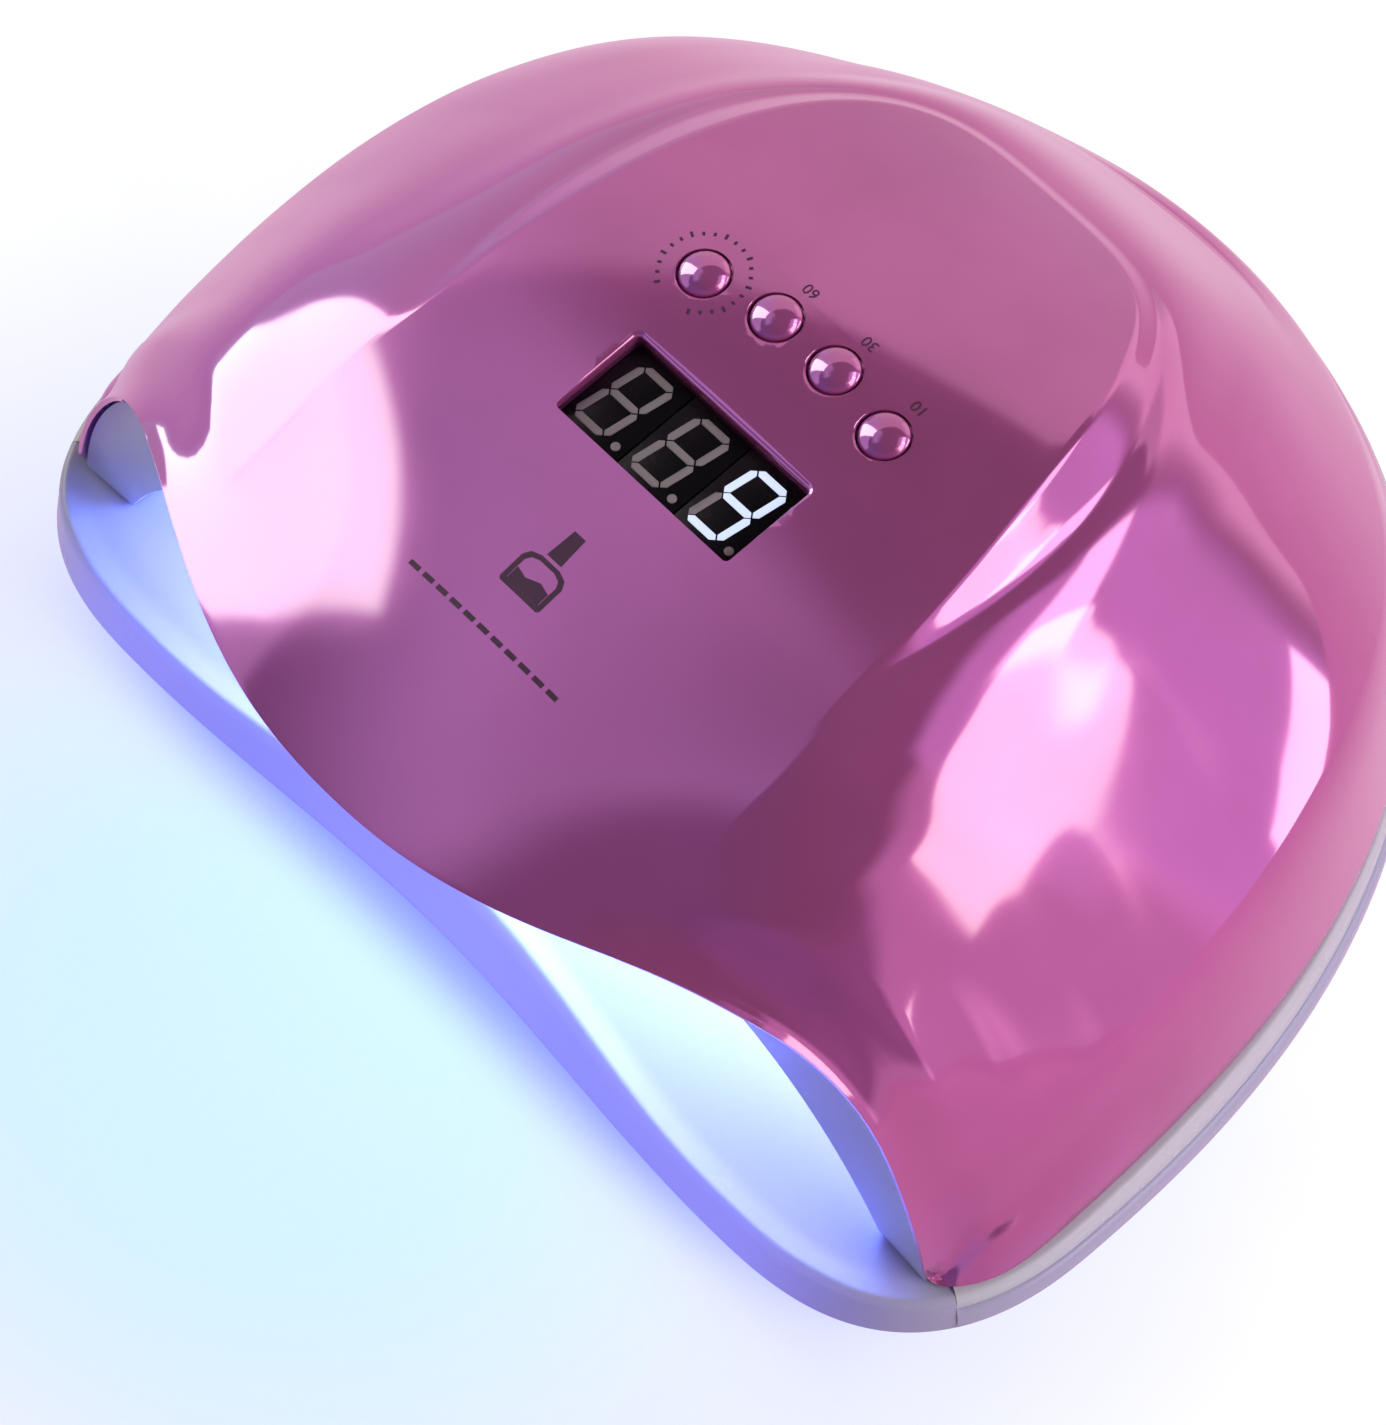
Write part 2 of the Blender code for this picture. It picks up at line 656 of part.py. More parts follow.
DIGIT_PITCH, DIGIT_W, DIGIT_H = 12.3, 7.4, 13.6
DIGIT_HALF_BLOCK, DIGIT_FACE = 6.0, -3.0
BAR_WIDTH, BAR_TIP_GAP, BAR_DEPTHS = 1.25, 0.18, (-3.3, -2.8)
DIGIT_SHIFT, POINT_X, POINT_R = -0.55, 4.75, 0.75
SLANT = math.tan(math.radians(9.0))
# ends of each bar (x0, y0, x1, y1), in half widths and half heights of the digit
SEGMENTS = ((-1, 1, 1, 1), (1, 1, 1, 0), (1, 0, 1, -1), (-1, -1, 1, -1), (-1, 0, -1, -1),
            (-1, 1, -1, 0), (-1, 0, 1, 0))


def button_seat(x, y):
    """A button's frame in the control plane, and the height of the shell above that plane."""
    along, up = y - CONTROL_Y, plateau(x, y) - CONTROL_Z
    cos, sin = math.cos(TILT), math.sin(TILT)
    return moved(CONTROL, x, along * cos + up * sin), up * cos - along * sin


# ---------------------------------------------------------------- top shell
SHELL_T = 2.2
FRONT_SECTIONS = [0.0, 0.02, 0.05, 0.12] + spread(0.2, 1.0, 8)
REAR_SECTIONS = spread(1.0, 2.0, 11)[1:]


def window_cutter():
    """Display opening with a bevelled upper edge."""
    rings = []
    for depth, grow in WINDOW_RINGS:
        radius = WINDOW_CORNER + grow
        a, b = WINDOW_HALF_X + grow - radius, WINDOW_HALF_Y + grow - radius
        ring = []
        for quarter, (side_x, side_y) in enumerate(((1, 1), (-1, 1), (-1, -1), (1, -1))):
            for i in range(3):
                angle = math.radians(90 * quarter + 45 * i)
                ring.append(frame_point(CONTROL, side_x * a + radius * math.cos(angle),
                                        side_y * b + radius * math.sin(angle), depth))
        rings.append(ring)
    return loft("window_cutter", rings)


def screw_post(x, y):
    top = min(shell_z(x + POST_R * math.cos(angle), y + POST_R * math.sin(angle))
              for angle in spread(0.0, 2 * math.pi, 12)) - POST_BELOW_SHELL
    return cylinder("post", POST_R, FRAME_LEDGE_Z + GAP, top, upright(x, y), sides=10)


def make_top_shell():
    columns = [Section(t).points() for t in FRONT_SECTIONS + REAR_SECTIONS]
    shell = walled_sheet("top_shell", columns, len(FRONT_SECTIONS) - 1, "pearl_pink",
                         thickness=SHELL_T, offset=-1.0, sharp_angle=40.0)
    for v in shell.data.vertices:
        v.co.z = max(v.co.z, hem_floor(v.co.y / MM) * MM)
    # collar that frames the display from below
    collar = block("collar", CONTROL, both(WINDOW_HALF_X + COLLAR_WIDTH),
                   both(WINDOW_HALF_Y + COLLAR_WIDTH), COLLAR_DEPTHS)
    combine(shell, [collar], "UNION")
    for x, y in SCREWS:
        combine(shell, [screw_post(x, y)], "UNION")
    cutters = [window_cutter()]
    cutters += [turned("hole", CAP_HOLE, button_seat(x, y)[0]) for _, x, y in BUTTONS]
    cutters += [cylinder("pilot", PILOT_R, 5.0, 20.0, upright(x, y), sides=8) for x, y in SCREWS]
    cutters.append(cylinder("jack_hole", JACK_R + JACK_CLEARANCE, 60.0, 95.0, JACK_FRAME))
    combine(shell, cutters, "DIFFERENCE")
    tidy(shell, 40.0)


# ---------------------------------------------------------------- reflector and light boards
LINER_T = 1.4
TUNNEL_HALF, TUNNEL_TOP, TUNNEL_DEEP_HALF, TUNNEL_DEEP_TOP = 87.0, 53.0, 83.0, 58.0
TUNNEL_BACK, TUNNEL_LOW, TUNNEL_POWER, TUNNEL_PLAN = 68.0, 9.3, 4.2, 2.1
FLARE_HALF, FLARE_TOP, FLARE_BEHIND_EDGE = 95.9, 61.9, 1.6
MOUTH_SIDE_Y, MOUTH_BOW = -82.0, 6.0
LINER_ROWS, TUNNEL_STEPS, LINER_REAR_STEPS = 10, 7, 9

BEAD_R, BEAD_HOLE_R, BEAD_SIDES = 2.9, 3.4, 6
BOARD_T = 1.2
WALL_BOARD_SPAN = (0.955, 0.80)    # fractions of the tunnel's half width that a board leans over
SIDE_BOARD_Y, REAR_BOARD_ANGLE = -46.0, math.radians(128.0)

# frame's z axis points into the tunnel; spots are the beads' places on the board
Board = namedtuple("Board", "frame spots half_x half_y bead_height")


def arch_z(u, top, power=TUNNEL_POWER, root=1.0):
    """Height of an arch at a fraction u of its half width."""
    return TUNNEL_LOW + (top - TUNNEL_LOW) * max(1.0 - u ** power, 0.0) ** root


def liner_radius(angle):
    """Distance from the pole to the reflector's foot, at an angle from straight ahead."""
    across = abs(math.sin(angle)) / TUNNEL_DEEP_HALF
    along = abs(math.cos(angle)) / TUNNEL_BACK
    return 1.0 / (across ** TUNNEL_PLAN + along ** TUNNEL_PLAN) ** (1 / TUNNEL_PLAN)


def make_liner():
    fractions = [math.sin(0.5 * math.pi * j / LINER_ROWS) ** 0.8 for j in range(LINER_ROWS + 1)]
    # flared front ring, just behind the shell's front edge
    columns = [[(FLARE_HALF * u, edge_y(EDGE_HALF * u) + FLARE_BEHIND_EDGE,
                 arch_z(u, FLARE_TOP, EDGE_POWER, EDGE_ROOT)) for u in fractions]]
    # tunnel, from its mouth to the pole
    for k in spread(0.0, 1.0, TUNNEL_STEPS):
        half = TUNNEL_HALF + (TUNNEL_DEEP_HALF - TUNNEL_HALF) * ease(k)
        top = TUNNEL_TOP + (TUNNEL_DEEP_TOP - TUNNEL_TOP) * ease(k)
        columns.append([
            (half * u, (1.0 - k) * (MOUTH_SIDE_Y - MOUTH_BOW * (1.0 - u ** 2)) + k * POLE_Y,
             arch_z(u, top)) for u in fractions])
    pole = len(columns) - 1
    for i in range(LINER_REAR_STEPS):
        angle = 0.5 * math.pi * (1.0 + (i + 1) / LINER_REAR_STEPS)
        radius = liner_radius(angle)
        columns.append([(radius * u * math.sin(angle), POLE_Y - radius * u * math.cos(angle),
                         arch_z(u, TUNNEL_DEEP_TOP)) for u in fractions])
    liner = walled_sheet("reflector_liner", columns, pole, "white_matte",
                         thickness=LINER_T, offset=1.0, sharp_angle=30.0)
    cutters = [cylinder("bead_hole", BEAD_HOLE_R, -9.0, 9.0, moved(board.frame, a, b),
                        sides=BEAD_SIDES)
               for board in led_boards().values() for a, b in board.spots]
    cutters.append(cylinder("sensor_hole", SENSOR_HOLE_R, -14.0, 14.0,
                            upright(0.0, SENSOR_Y, 56.0), sides=10))
    combine(liner, cutters, "DIFFERENCE")
    tidy(liner, 30.0)


def grid(xs, ys):
    return [(a, b) for a in xs for b in ys]


def wall_frame(base, direction, normal, reach, top, back):
    """Frame of a board that leans with the tunnel wall, met from base along direction. reach is
    the wall's distance, normal its outward plan normal, back the board's place behind it."""
    (r0, z0), (r1, z1) = ((reach * u, arch_z(u, top)) for u in WALL_BOARD_SPAN)
    rise = Vector((0.0, 0.0, z1 - z0))
    up = (normal * ((r1 - r0) * direction.dot(normal)) + rise).normalized()
    inward = up.cross(Vector((0.0, 0.0, 1.0)).cross(normal))
    middle = (base + direction * (0.5 * (r0 + r1)) + Vector((0.0, 0.0, 0.5 * (z0 + z1)))
              - inward * back)
    return tuple(middle), tuple(up.cross(inward)), tuple(up), tuple(inward)


def led_boards():
    boards = {}
    frame = ((0.0, -34.0, 61.9), (1.0, 0.0, 0.0), (0.0, -1.0, 0.0), (0.0, 0.0, -1.0))
    boards["roof"] = Board(frame, grid((-26.0, 26.0), (-27.0, -9.0, 9.0, 27.0)), 33.0, 33.0, 5.2)
    for side, name in ((1, "right"), (-1, "left")):
        outward = Vector((side, 0.0, 0.0))
        frame = wall_frame(Vector((0.0, SIDE_BOARD_Y, 0.0)), outward, outward,
                           reach=0.5 * (TUNNEL_HALF + TUNNEL_DEEP_HALF),
                           top=0.5 * (TUNNEL_TOP + TUNNEL_DEEP_TOP), back=4.4)
        spots = grid((-24.0, -8.0, 8.0, 24.0), (-5.2, 5.2))
        boards[name] = Board(frame, spots, 30.0, 9.5, 6.0)
    sin, cos = math.sin(REAR_BOARD_ANGLE), math.cos(REAR_BOARD_ANGLE)
    power = TUNNEL_PLAN - 1.0
    for side, name in ((1, "rear_right"), (-1, "rear_left")):
        direction = Vector((side * sin, -cos, 0.0))
        normal = Vector((side * (abs(sin) / TUNNEL_DEEP_HALF) ** power / TUNNEL_DEEP_HALF,
                         (abs(cos) / TUNNEL_BACK) ** power / TUNNEL_BACK, 0.0)).normalized()
        frame = wall_frame(Vector((0.0, POLE_Y, 0.0)), direction, normal,
                           reach=liner_radius(REAR_BOARD_ANGLE), top=TUNNEL_DEEP_TOP, back=4.9)
        boards[name] = Board(frame, grid((-13.0, 0.0, 13.0), (-5.2, 5.2)), 18.0, 9.5, 6.0)
    return boards


def make_led_boards():
    for name, board in led_boards().items():
        ob = block("led_board_" + name, board.frame, both(board.half_x), both(board.half_y),
                   (-BOARD_T, 0.0), "board_white")
        tip = board.bead_height
        bead = ((0, -0.5), (BEAD_R, -0.5), (BEAD_R, tip - 1.0), (BEAD_R * 0.72, tip - 0.2),
                (0, tip))
        beads = [turned("bead", bead, moved(board.frame, a, b), sides=BEAD_SIDES)
                 for a, b in board.spots]
        combine(ob, beads, "UNION")
        tidy(ob, 40.0)


# ---------------------------------------------------------------- frame and tray
def make_frame():
    """Rim that joins the shell to the tray: a wall under the hem, a ledge under the reflector."""
    side = []
    for s in rim_stations():
        y = outline(s)[0][1]
        top = hem_z(y) - GAP
        width = ledge_width(y)
        side.append(outline_section(s, (
            (1.0, FRAME_UNDER_Z), (0.9, top - 1.1), (1.7, top), (7.2, top),
            (7.6, FRAME_LEDGE_Z), (width, FRAME_LEDGE_Z), (width, FRAME_UNDER_Z))))
    frame = loft("body_frame", side + mirrored(side[:-1]), "white_gloss")
    cutters = [turned("screw_hole", SCREW_HOLE, upright(x, y), sides=10) for x, y in SCREWS]
    cutters += [cylinder("pocket", MAGNET_R + GAP, 4.0, MAGNET_TOP + GAP, upright(x, y), sides=14)
                for x, y in MAGNETS]
    combine(frame, cutters, "DIFFERENCE")
    tidy(frame)


def tray_front_section(x):
    """Full-height front edge, leaning back most at the centre: (inset, height) points."""
    lean = 1.9 + 3.7 * (1.0 - ease(x / 62.0)) - 0.9 * ease((x - 86.0) / 16.0)
    return ((0.8, TRAY_UNDER), (0.0, TRAY_UNDER + 0.9), (lean * 0.45, 5.2), (lean * 0.85, 8.4),
            (lean + 0.6, TRAY_LIP_Z), (lean + 1.8, TRAY_LIP_Z - 0.1), (lean + 4.2, TRAY_TOP_Z),
            (lean + 16.0, TRAY_TOP_Z))


def tray_rear_section(y):
    """Low rim under the frame, stepping up to the tray's floor: (inset, height) points."""
    width = ledge_width(max(y, FRAME_END_Y)) + GAP
    return ((0.8, TRAY_UNDER), (0.0, TRAY_UNDER + 0.9), (0.0, 3.5), (0.1, 5.2),
            (0.9, TRAY_RIM_Z), (width, TRAY_RIM_Z), (width + 0.4, TRAY_TOP_Z),
            (width + 12.0, TRAY_TOP_Z))


def make_tray():
    """Base: thin where the frame sits on it, full height inside the tunnel and at the front."""
    front_end = outline_at_y(FRAME_END_Y - 1.4)
    columns = [outline_section(s, tray_front_section(outline(s)[0][0]))
               for s in spread(0.0, front_end, 17)]
    columns += [outline_section(s, tray_rear_section(outline(s)[0][1]))
                for s in [front_end + 0.35] + rim_stations()]
    ring = columns + mirrored(columns[1:-1])
    count, rows = len(ring), len(ring[0])
    vertices = [p for column in ring for p in column]
    faces = []
    for i in range(count):
        for j in range(rows - 1):
            a, b = i * rows + j, ((i + 1) % count) * rows + j
            faces.append((a, b, b + 1, a + 1))
    # floor and underside fan out from two centre points
    top, under = len(vertices), len(vertices) + 1
    vertices += [(0.0, -20.0, TRAY_TOP_Z), (0.0, -20.0, TRAY_UNDER)]
    for i in range(count):
        k = (i + 1) % count
        faces.append((i * rows + rows - 1, k * rows + rows - 1, top))
        faces.append((k * rows, i * rows, under))
    tray = add_object("base_tray", vertices, faces, "white_gloss")
    cutters = [cylinder("pocket", FOOT_R + GAP, 0.0, FOOT_TOP + GAP, upright(x, y))
               for x, y in FEET]
    cutters += [cylinder("pocket", MAGNET_R + GAP, KEEPER_LOW - GAP, 7.0, upright(x, y), sides=14)
                for x, y in MAGNETS]
    combine(tray, cutters, "DIFFERENCE")
    tidy(tray)


# ---------------------------------------------------------------- small hardware
def make_feet():
    profile = ((0, 0.0), (FOOT_R - SMALL_CHAMFER, 0.0), (FOOT_R, SMALL_CHAMFER),
               (FOOT_R, FOOT_TOP), (0, FOOT_TOP))
    for i, (x, y) in enumerate(FEET, 1):
        turned("foot_%d" % i, profile, upright(x, y), "rubber_grey")


def make_magnets():
    """Magnets in the frame, with steel keepers under them in the tray."""
    under, narrow = FRAME_UNDER_Z + 0.1, MAGNET_R - SMALL_CHAMFER
    magnet = ((0, under), (narrow, under), (MAGNET_R, under + SMALL_CHAMFER),
              (MAGNET_R, MAGNET_TOP), (0, MAGNET_TOP))
    keeper = ((0, KEEPER_LOW), (MAGNET_R, KEEPER_LOW), (MAGNET_R, KEEPER_TOP - SMALL_CHAMFER),
              (narrow, KEEPER_TOP), (0, KEEPER_TOP))
    for i, (x, y) in enumerate(MAGNETS, 1):
        turned("magnet_%d" % i, magnet, upright(x, y), "nickel", 14)
        turned("keeper_%d" % i, keeper, upright(x, y), "steel_zinc", 14)


def make_screws():
    for i, (x, y) in enumerate(SCREWS, 1):
        turned("screw_%d" % i, SCREW_PROFILE, upright(x, y), "steel_zinc", 10)


# ---------------------------------------------------------------- controls
def make_control_board():
    block("control_board", CONTROL, both(32.0), (-14.0, 34.0), (BOARD_UNDER, BOARD_FACE),
          "board_green")
    block("control_chip", CONTROL, both(6.0), (12.5, 18.5), (PART_SEAT, -9.4),
          "chip_black", bevel=0.3)


def make_display():
    block("display_housing", CONTROL, both(18.8), both(9.5), (PART_SEAT, HOUSING_TOP),
          "chip_black", bevel=0.3)
    for k, label in enumerate(("left", "centre", "right")):
        make_digit("display_digit_" + label, (k - 1) * DIGIT_PITCH)
    block("display_window", CONTROL, both(WINDOW_HALF_X - GAP), both(WINDOW_HALF_Y - GAP),
          (-2.4, -1.7), "window_clear", bevel=0.15)


def segment_bar(x0, y0, x1, y1):
    """Outline of one pointed, slanted bar in the digit's own plane."""
    length = math.hypot(x1 - x0, y1 - y0)
    ux, uy = (x1 - x0) / length, (y1 - y0) / length
    half = BAR_WIDTH / 2
    tip, shoulder = BAR_TIP_GAP, BAR_TIP_GAP + half
    # (end x, end y, step along the bar, step across it)
    corners = ((x0, y0, tip, 0.0), (x0, y0, shoulder, half), (x1, y1, -shoulder, half),
               (x1, y1, -tip, 0.0), (x1, y1, -shoulder, -half), (x0, y0, shoulder, -half))
    points = [(x + ux * along - uy * across, y + uy * along + ux * across)
              for x, y, along, across in corners]
    return [(x + y * SLANT, y) for x, y in points]


def make_digit(name, centre_x):
    """One digit of the display: a block with its light bars and point standing just proud."""
    digit = block(name, CONTROL, (centre_x - DIGIT_HALF_BLOCK, centre_x + DIGIT_HALF_BLOCK),
                  both(WINDOW_HALF_Y - GAP), (HOUSING_TOP + GAP, DIGIT_FACE), "digit_grey")
    half_x, half_y = DIGIT_W / 2 - BAR_WIDTH / 2, DIGIT_H / 2 - BAR_WIDTH / 2
    shapes = [segment_bar(x0 * half_x, y0 * half_y, x1 * half_x, y1 * half_y)
              for x0, y0, x1, y1 in SEGMENTS]
    shapes.append([(POINT_X + POINT_R * math.cos(math.pi * i / 4),
                    -DIGIT_H / 2 + POINT_R + POINT_R * math.sin(math.pi * i / 4))
                   for i in range(8)])
    bars = []
    for shape in shapes:
        rings = [[frame_point(CONTROL, centre_x + DIGIT_SHIFT + x, y, depth) for x, y in shape]
                 for depth in BAR_DEPTHS]
        bars.append(loft("bar", rings))
    combine(digit, bars, "UNION")
    tidy(digit, 30.0)


def make_buttons():
    for label, x, y in BUTTONS:
        frame, shell_height = button_seat(x, y)
        cap = [(radius, z + shell_height) for radius, z in CAP_DOME] + list(CAP_UNDER)
        turned("button_cap_" + label, cap, frame, "pearl_pink_cap")
        cylinder("button_plunger_" + label, 1.7, CAP_FOOT - GAP, PLUNGER_FOOT, frame,
                 "chip_black", 12)
        switch = block("button_switch_" + label, frame, both(3.0), both(3.0), (PART_SEAT, -7.4),
                       "switch_steel", bevel=0.2)
        combine(switch, [cylinder("well", 2.0, -9.8, -6.0, frame, sides=12)], "DIFFERENCE")
        tidy(switch)


# ---------------------------------------------------------------- electrics
POWER_WIRE_R, LED_WIRE_R = 1.2, 1.1
# points the wires pass through; the LED wire is given on the +X side
POWER_WIRE = ((0.0, 57.6, 26.0), (0.0, 55.0, 34.0), (0.0, 50.0, 44.0), (0.0, 43.0, 54.0),
              (0.0, 33.0, 62.0), (0.0, 16.0, 68.5), (0.0, -4.0, 73.2))
LED_WIRE = ((34.5, -30.0, 72.5), (44.0, -33.0, 68.0), (58.0, -40.0, 62.0), (70.0, -46.0, 54.0),
            (77.5, -46.0, 44.5))
WIRE_SIDES, WIRE_STEPS = 6, 3


def make_tube(name, path, radius, material):
    """Round wire along a Catmull-Rom curve through the path."""
    points = [Vector(p) for p in path]
    last = len(points) - 1
    line = []
    for i in range(last):
        p0, p1, p2, p3 = points[max(i - 1, 0)], points[i], points[i + 1], points[min(i + 2, last)]
        for k in range(WIRE_STEPS):
            t = k / WIRE_STEPS
            line.append(0.5 * ((2 * p1) + (p2 - p0) * t + (2 * p0 - 5 * p1 + 4 * p2 - p3) * t * t
                               + (3 * p1 - p0 - 3 * p2 + p3) * t ** 3))
    line.append(points[-1])
    angles = [2 * math.pi * j / WIRE_SIDES for j in range(WIRE_SIDES)]
    rings = []
    for i, p in enumerate(line):
        tangent = (line[min(i + 1, len(line) - 1)] - line[max(i - 1, 0)]).normalized()
        # the reference direction is never parallel to a wire
        side = tangent.cross(Vector((0.3, 0.1, 1.0))).normalized()
        up = side.cross(tangent)
        rings.append([tuple(p + side * radius * math.cos(angle) + up * radius * math.sin(angle))
                      for angle in angles])
    loft(name, rings, material, sharp_angle=50.0)


def make_electrics():
    turned("dc_jack", JACK_PROFILE, JACK_FRAME, "chip_black")
    turned("ir_sensor", SENSOR_PROFILE, upright(0.0, SENSOR_Y), "sensor_dark", 10)
    make_tube("wire_power", POWER_WIRE, POWER_WIRE_R, "wire_black")
    for side, name in ((1, "right"), (-1, "left")):
        path = [(side * x, y, z) for x, y, z in LED_WIRE]
        make_tube("wire_led_" + name, path, LED_WIRE_R, "wire_red")


# ---------------------------------------------------------------- materials
def add_material(name, colour, roughness, metallic=0.0, alpha=1.0):
    material = bpy.data.materials.new(name)
    material.use_nodes = True
    inputs = material.node_tree.nodes["Principled BSDF"].inputs
    inputs["Base Color"].default_value = (*colour, 1.0)
    inputs["Metallic"].default_value = metallic
    inputs["Roughness"].default_value = roughness
    inputs["Alpha"].default_value = alpha


def make_materials():
    for name in ("pearl_pink", "pearl_pink_cap"):
        add_material(name, colour=(0.72, 0.19, 0.42), roughness=0.12, metallic=0.55)
    add_material("white_gloss", colour=(0.86, 0.85, 0.88), roughness=0.25)
    add_material("white_matte", colour=(0.90, 0.90, 0.92), roughness=0.4)
    add_material("board_white", colour=(0.85, 0.86, 0.84), roughness=0.45)
    add_material("board_green", colour=(0.03, 0.22, 0.10), roughness=0.4)
    add_material("chip_black", colour=(0.012, 0.012, 0.014), roughness=0.45)
    add_material("digit_grey", colour=(0.30, 0.30, 0.32), roughness=0.35)
    add_material("window_clear", colour=(0.9, 0.9, 0.92), roughness=0.05, alpha=0.25)
    add_material("switch_steel", colour=(0.62, 0.62, 0.64), roughness=0.35, metallic=0.9)
    add_material("nickel", colour=(0.70, 0.69, 0.67), roughness=0.2, metallic=1.0)
    add_material("steel_zinc", colour=(0.60, 0.61, 0.62), roughness=0.35, metallic=1.0)
    add_material("rubber_grey", colour=(0.10, 0.10, 0.11), roughness=0.8)
    add_material("sensor_dark", colour=(0.05, 0.01, 0.03), roughness=0.15)
    add_material("wire_black", colour=(0.02, 0.02, 0.02), roughness=0.5)
    add_material("wire_red", colour=(0.55, 0.03, 0.03), roughness=0.5)


def main():
    for ob in list(bpy.data.objects):
        bpy.data.objects.remove(ob, do_unlink=True)
    make_materials()
    make_top_shell()
    make_liner()
    make_frame()
    make_tray()
    make_feet()
    make_magnets()
    make_screws()
    make_led_boards()
    make_control_board()
    make_display()
    make_buttons()
    make_electrics()
    for ob in bpy.data.objects:
        ob.data.transform(Matrix.Translation((0.0, SET_BACK * MM, 0.0)))


main()
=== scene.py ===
# Nail-curing lamp: a domed pink shell over a white reflector, on a loose base tray.
# The hand opening faces -Y and +X is the right-hand side seen from there; Z = 0 is the table.
# Shapes are drawn in millimetres; meshes, materials, lights and camera are in metres.
import json
import math

import bmesh
import bpy
import numpy as np
from mathutils import Matrix, Vector

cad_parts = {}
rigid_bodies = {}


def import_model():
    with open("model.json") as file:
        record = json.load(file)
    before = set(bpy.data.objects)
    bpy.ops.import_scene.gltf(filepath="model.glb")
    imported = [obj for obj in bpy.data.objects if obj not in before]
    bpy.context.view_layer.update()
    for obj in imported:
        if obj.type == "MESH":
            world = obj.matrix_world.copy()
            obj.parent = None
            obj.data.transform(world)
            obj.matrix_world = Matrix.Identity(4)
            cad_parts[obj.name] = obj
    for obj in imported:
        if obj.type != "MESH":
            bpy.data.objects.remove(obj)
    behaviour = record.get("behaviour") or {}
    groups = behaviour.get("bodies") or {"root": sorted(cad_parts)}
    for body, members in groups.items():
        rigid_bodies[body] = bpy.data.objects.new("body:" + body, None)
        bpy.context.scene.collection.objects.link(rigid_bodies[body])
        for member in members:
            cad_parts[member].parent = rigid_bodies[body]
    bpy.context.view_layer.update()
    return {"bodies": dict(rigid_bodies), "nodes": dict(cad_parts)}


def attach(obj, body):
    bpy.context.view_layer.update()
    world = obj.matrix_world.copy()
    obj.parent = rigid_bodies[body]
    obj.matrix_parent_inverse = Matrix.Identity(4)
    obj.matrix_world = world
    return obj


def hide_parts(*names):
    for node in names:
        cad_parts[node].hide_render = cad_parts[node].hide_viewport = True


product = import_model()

MM = 0.001

# ---------------------------------------------------------------- driving dimensions
GAP = 0.3              # clearance between pieces that touch
POLE_Y = -12.0         # crown point of the dome, where the rear sections fan out
SHELL_WALL = 2.2
LINER_WALL = 1.4

# crown line of the dome, seen from the side: height, peak, curvature, and extra fall at the back
CROWN_Z, CROWN_Y, CROWN_CURVE = 87.2, -8.0, 0.00188
REAR_Y, REAR_CURVE = -25.0, 4.1e-5
ACROSS_CURVE, ACROSS_FRONT_CURVE = 0.0005, 0.0015

# front edge of the shell: a visor between two legs
EDGE_HALF, EDGE_LOW, EDGE_TOP = 98.9, 10.0, 66.7
VISOR_Y, LEG_Y = -112.7, -83.5
LEG_ROUND = 3.6        # rounding of each leg's front bottom corner
EDGE_BAND = 96.4       # where the side band meets the front edge

# base outline: rounded front corners, tapering round back
BASE_HALF, BASE_MID_Y, BASE_BACK, BASE_POW = 109.0, -58.0, 138.5, 2.3
REAR_POW = 2.4         # the dome stands a little squarer at the back than its base
BASE_FLAT, BASE_FRONT_Y, BASE_BOW = 66.0, -94.6, 3.6
CORNER_X_POW, CORNER_Y_POW = 2.8, 2.4

# the drawing origin lies this far in front of the middle of the bounding box
SET_BACK = -0.5 * (VISOR_Y + BASE_MID_Y + BASE_BACK)

# tray and frame heights
TRAY_UNDER, TRAY_RIM_Z, TRAY_TOP_Z, TRAY_LIP_Z = 1.0, 6.0, 8.7, 9.5
FRAME_FLANGE_Z, FRAME_END_Y = 9.0, -81.9

# reflector tunnel: its mouth, its deep section and its rounded back
TUNNEL_HALF, TUNNEL_TOP, TUNNEL_DEEP_HALF, TUNNEL_DEEP_TOP = 87.0, 53.0, 83.0, 58.0
TUNNEL_BACK, TUNNEL_LOW, TUNNEL_POW, TUNNEL_PLAN = 68.0, 9.3, 4.2, 2.1
LINER_EDGE_HALF, LINER_EDGE_TOP = 97.7, 65.2

# control group: display window and buttons share one tilted plane
TILT = math.radians(5.0)
WINDOW_Y, CONTROL_Z = -42.3, 85.0
WINDOW_HALF_X, WINDOW_HALF_Y = 18.6, 8.4
# label, x, y
BUTTONS = (("mode", -19.45, -19.9), ("60", -6.35, -17.5), ("30", 6.35, -17.5),
           ("10", 19.45, -19.9))
CAP_R, CAP_HOLE_R = 4.0, 4.4
DIGIT_PITCH, DIGIT_W, DIGIT_H = 12.3, 7.4, 13.6
DIGIT_BLOCK_HALF = 6.0
SEGMENT_W, SEGMENT_GAP, DOT_R = 1.25, 0.18, 0.75
SLANT = math.tan(math.radians(9.0))

BEAD_R, BEAD_HOLE_R = 2.9, 3.4
BEAD_ROW = 5.2         # height of the wall boards' bead rows above and below their middle
MAGNET_HOLE_R = 4.3
FOOT_R, FOOT_HOLE_R = 6.0, 6.3
SENSOR_Y, SENSOR_HOLE_R = -76.0, 3.3
JACK_R, JACK_Z = 3.2, 18.2


# ---------------------------------------------------------------- small maths
def smooth(t):
    t = min(max(t, 0.0), 1.0)
    return t * t * (3.0 - 2.0 * t)


def bisect(f, low, high):
    for _ in range(48):
        middle = 0.5 * (low + high)
        if f(middle) < 0.0:
            low = middle
        else:
            high = middle
    return 0.5 * (low + high)


